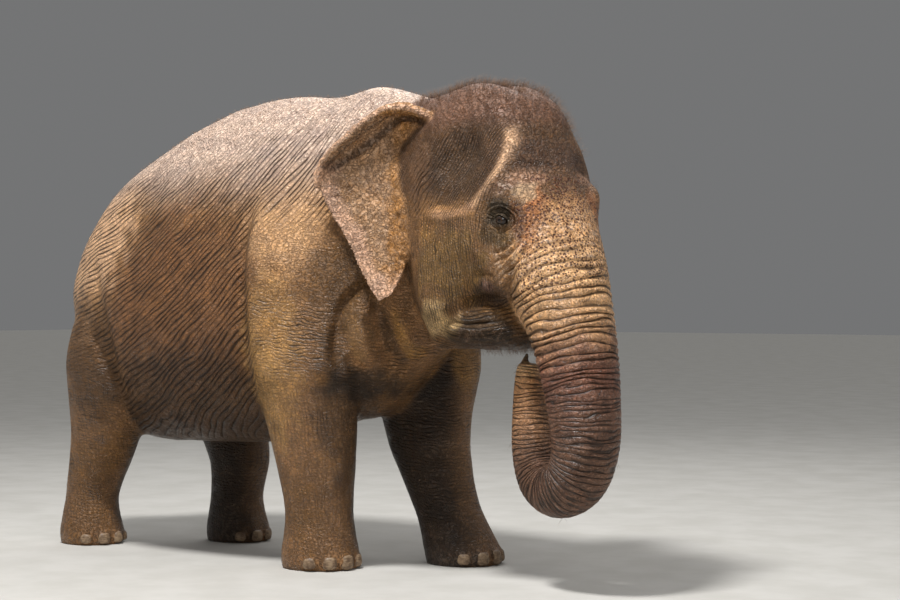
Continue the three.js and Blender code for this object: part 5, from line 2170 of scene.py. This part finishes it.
@dataclass(frozen=True)
class Studio:
    """A pale floor, soft light and the camera, level and in front of the animal's right side."""

    shift: float
    floor_half: float = 60.0
    floor_low: float = 0.0005
    floor_tone: str = "c0bdb6"
    floor_pale: str = "cac7c1"
    floor_roughness: float = 0.9
    sky_tone: str = "d9dadb"
    sky_height: tuple = (0.15, 0.95)
    sky_strength: tuple = (0.25, 0.66)
    lamps: tuple = (
        Lamp("key", (0.5, -2.9, 7.7), (0.2, 0.0, 1.2), 1.1, 640.0),
        Lamp("front", (7.0, -4.0, 4.6), (0.8, 0.0, 1.2), 3.0, 110.0),
        Lamp("back", (-2.5, 4.5, 6.5), (0.0, 0.0, 1.4), 4.0, 120.0),
    )
    view_turn: float = math.radians(38)
    distance: float = 10.2
    aside: float = 0.91
    eye_level: float = 1.285
    lens: float = 80.0
    sensor: float = 36.0

    def build(self) -> None:
        """Sets up floor, sky, lamps and camera."""
        self._floor()
        self._sky()
        for lamp in self.lamps:
            self._hang(lamp)
        self._camera()

    def _floor(self) -> None:
        """Lays a wide plain floor."""
        half, low = self.floor_half, -self.floor_low
        points = np.array([(-half, -half, low), (half, -half, low), (half, half, low), (-half, half, low)])
        floor = object_from("floor", points, np.array([0, 1, 2, 3]), np.array([4]))
        shade = Shade("floor")
        grain = shade.noise(shade.here(), 3.0, 4.0)
        tint = shade.mix(shade.ramp(grain, 0.3, 0.7), colour(self.floor_tone), colour(self.floor_pale))
        floor.data.materials.append(shade.finish(Base_Color=tint, Roughness=self.floor_roughness))

    def _sky(self) -> None:
        """Sets a pale sky, brighter overhead."""
        world = bpy.data.worlds.new("studio")
        world.use_nodes = True
        tree = world.node_tree
        back = tree.nodes["Background"]
        back.inputs["Color"].default_value = colour(self.sky_tone)
        way = tree.nodes.new("ShaderNodeSeparateXYZ")
        tree.links.new(tree.nodes.new("ShaderNodeTexCoord").outputs["Generated"], way.inputs[0])
        dome = tree.nodes.new("ShaderNodeMapRange")
        tree.links.new(way.outputs["Z"], dome.inputs["Value"])
        for key, number in zip(("From Min", "From Max", "To Min", "To Max"),
                               (*self.sky_height, *self.sky_strength)):
            dome.inputs[key].default_value = number
        tree.links.new(dome.outputs[0], back.inputs["Strength"])
        bpy.context.scene.world = world

    def _hang(self, lamp: Lamp) -> None:
        """Hangs one lamp.

        Args:
            lamp: the lamp.
        """
        data = bpy.data.lights.new(lamp.name, "AREA")
        data.size = lamp.size
        data.energy = lamp.power
        hung = bpy.data.objects.new(lamp.name, data)
        hung.location = lamp.place
        hung.rotation_euler = (Vector(lamp.aim) - Vector(lamp.place)).to_track_quat("-Z", "Y").to_euler()
        bpy.context.scene.collection.objects.link(hung)

    def _camera(self) -> None:
        """Sets up the camera."""
        c, s = math.cos(self.view_turn), math.sin(self.view_turn)
        data = bpy.data.cameras.new("camera")
        data.lens = self.lens
        data.sensor_width = self.sensor
        camera = bpy.data.objects.new("camera", data)
        camera.location = (
            self.distance * s + self.aside * c + self.shift,
            -self.distance * c + self.aside * s,
            self.eye_level,
        )
        camera.rotation_euler = Vector((-s, c, 0)).to_track_quat("-Z", "Y").to_euler()
        bpy.context.scene.collection.objects.link(camera)
        bpy.context.scene.camera = camera


# ---------------- assembly
GROWTHS = {
    "crown": Growth("hair_crown", 1500, 4, 0.052, 0.0009, 1.0, (0.25, 0.0, 0.1), 301),
    "back": Growth("hair_back", 1300, 4, 0.026, 0.0009, 0.7, (-0.5, 0.0, 0.0), 302),
    "chin": Growth("hair_chin", 350, 3, 0.04, 0.001, 0.8, (0.1, 0.0, -0.5), 303),
    "sides": Growth("hair_body", 1300, 2, 0.018, 0.0009, 0.5, (-0.2, 0.0, -0.8), 304),
}


def grow_hair(hide: Hide, coat: Coat, finish: Material) -> list[Object]:
    """Sows the sparse hair of crown, back, chin and body.

    Args:
        hide: the finished hide.
        coat: the sower.
        finish: the hair's material.

    Returns:
        The pieces of hair.
    """
    z = hide.mesh.points[:, 2]
    head = hide.measures.to_head(hide.mesh.points)
    hx, hz = head[:, 0], head[:, 2]
    on_head, trunk, body, fore, hind = hide.shares(
        Region.HEAD, Region.TRUNK, Region.BODY, Region.FORELEG, Region.HINDLEG)
    weights = {
        "crown": on_head * rise(hz, 1.95, 2.18) + 0.15 * on_head * rise(hz, 1.75, 1.95),
        "back": body * rise(z, 1.75, 2.1),
        "chin": on_head * rise(hz, 1.22, 1.12) * rise(hx, 1.5, 1.65) + 0.02 * trunk,
        "sides": body + fore + hind * rise(z, 0.2, 0.4),
    }
    return [coat.grow(growth, weights[place], finish) for place, growth in GROWTHS.items()]


def main() -> None:
    """Builds the elephant and its studio, piece by piece."""
    logging.basicConfig(level=logging.INFO, format="%(message)s")
    measures = Measures()
    shift = measures.shift()
    LOG.info("shift %.4f", shift)
    hide = Hide(measures, shift)
    skin = hide.build()
    skin.data.materials.append(HideFinish().material())
    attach(skin, "root")
    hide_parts(*[name for region in Region for name in region.value])
    LOG.info("hide finished")
    LOG.info("eyes: %d pieces", len(Eyes(hide).build(EyeFinish().material())))
    LOG.info("toenails: %d pieces", len(Toenails(shift).build(NailFinish().material())))
    coat = Coat(hide)
    grow_hair(hide, coat, HairFinish("hair", "9c7a5e", "563c2a").material())
    bristle = HairFinish("bristle", "2a1d16", "0f0b09").material()
    TailTuft(coat).build(bristle, skin.data.materials[0])
    Studio(shift).build()
    LOG.info("studio set up")
    bpy.context.scene.view_settings.view_transform = "Standard"


if __name__ == "__main__":
    main()
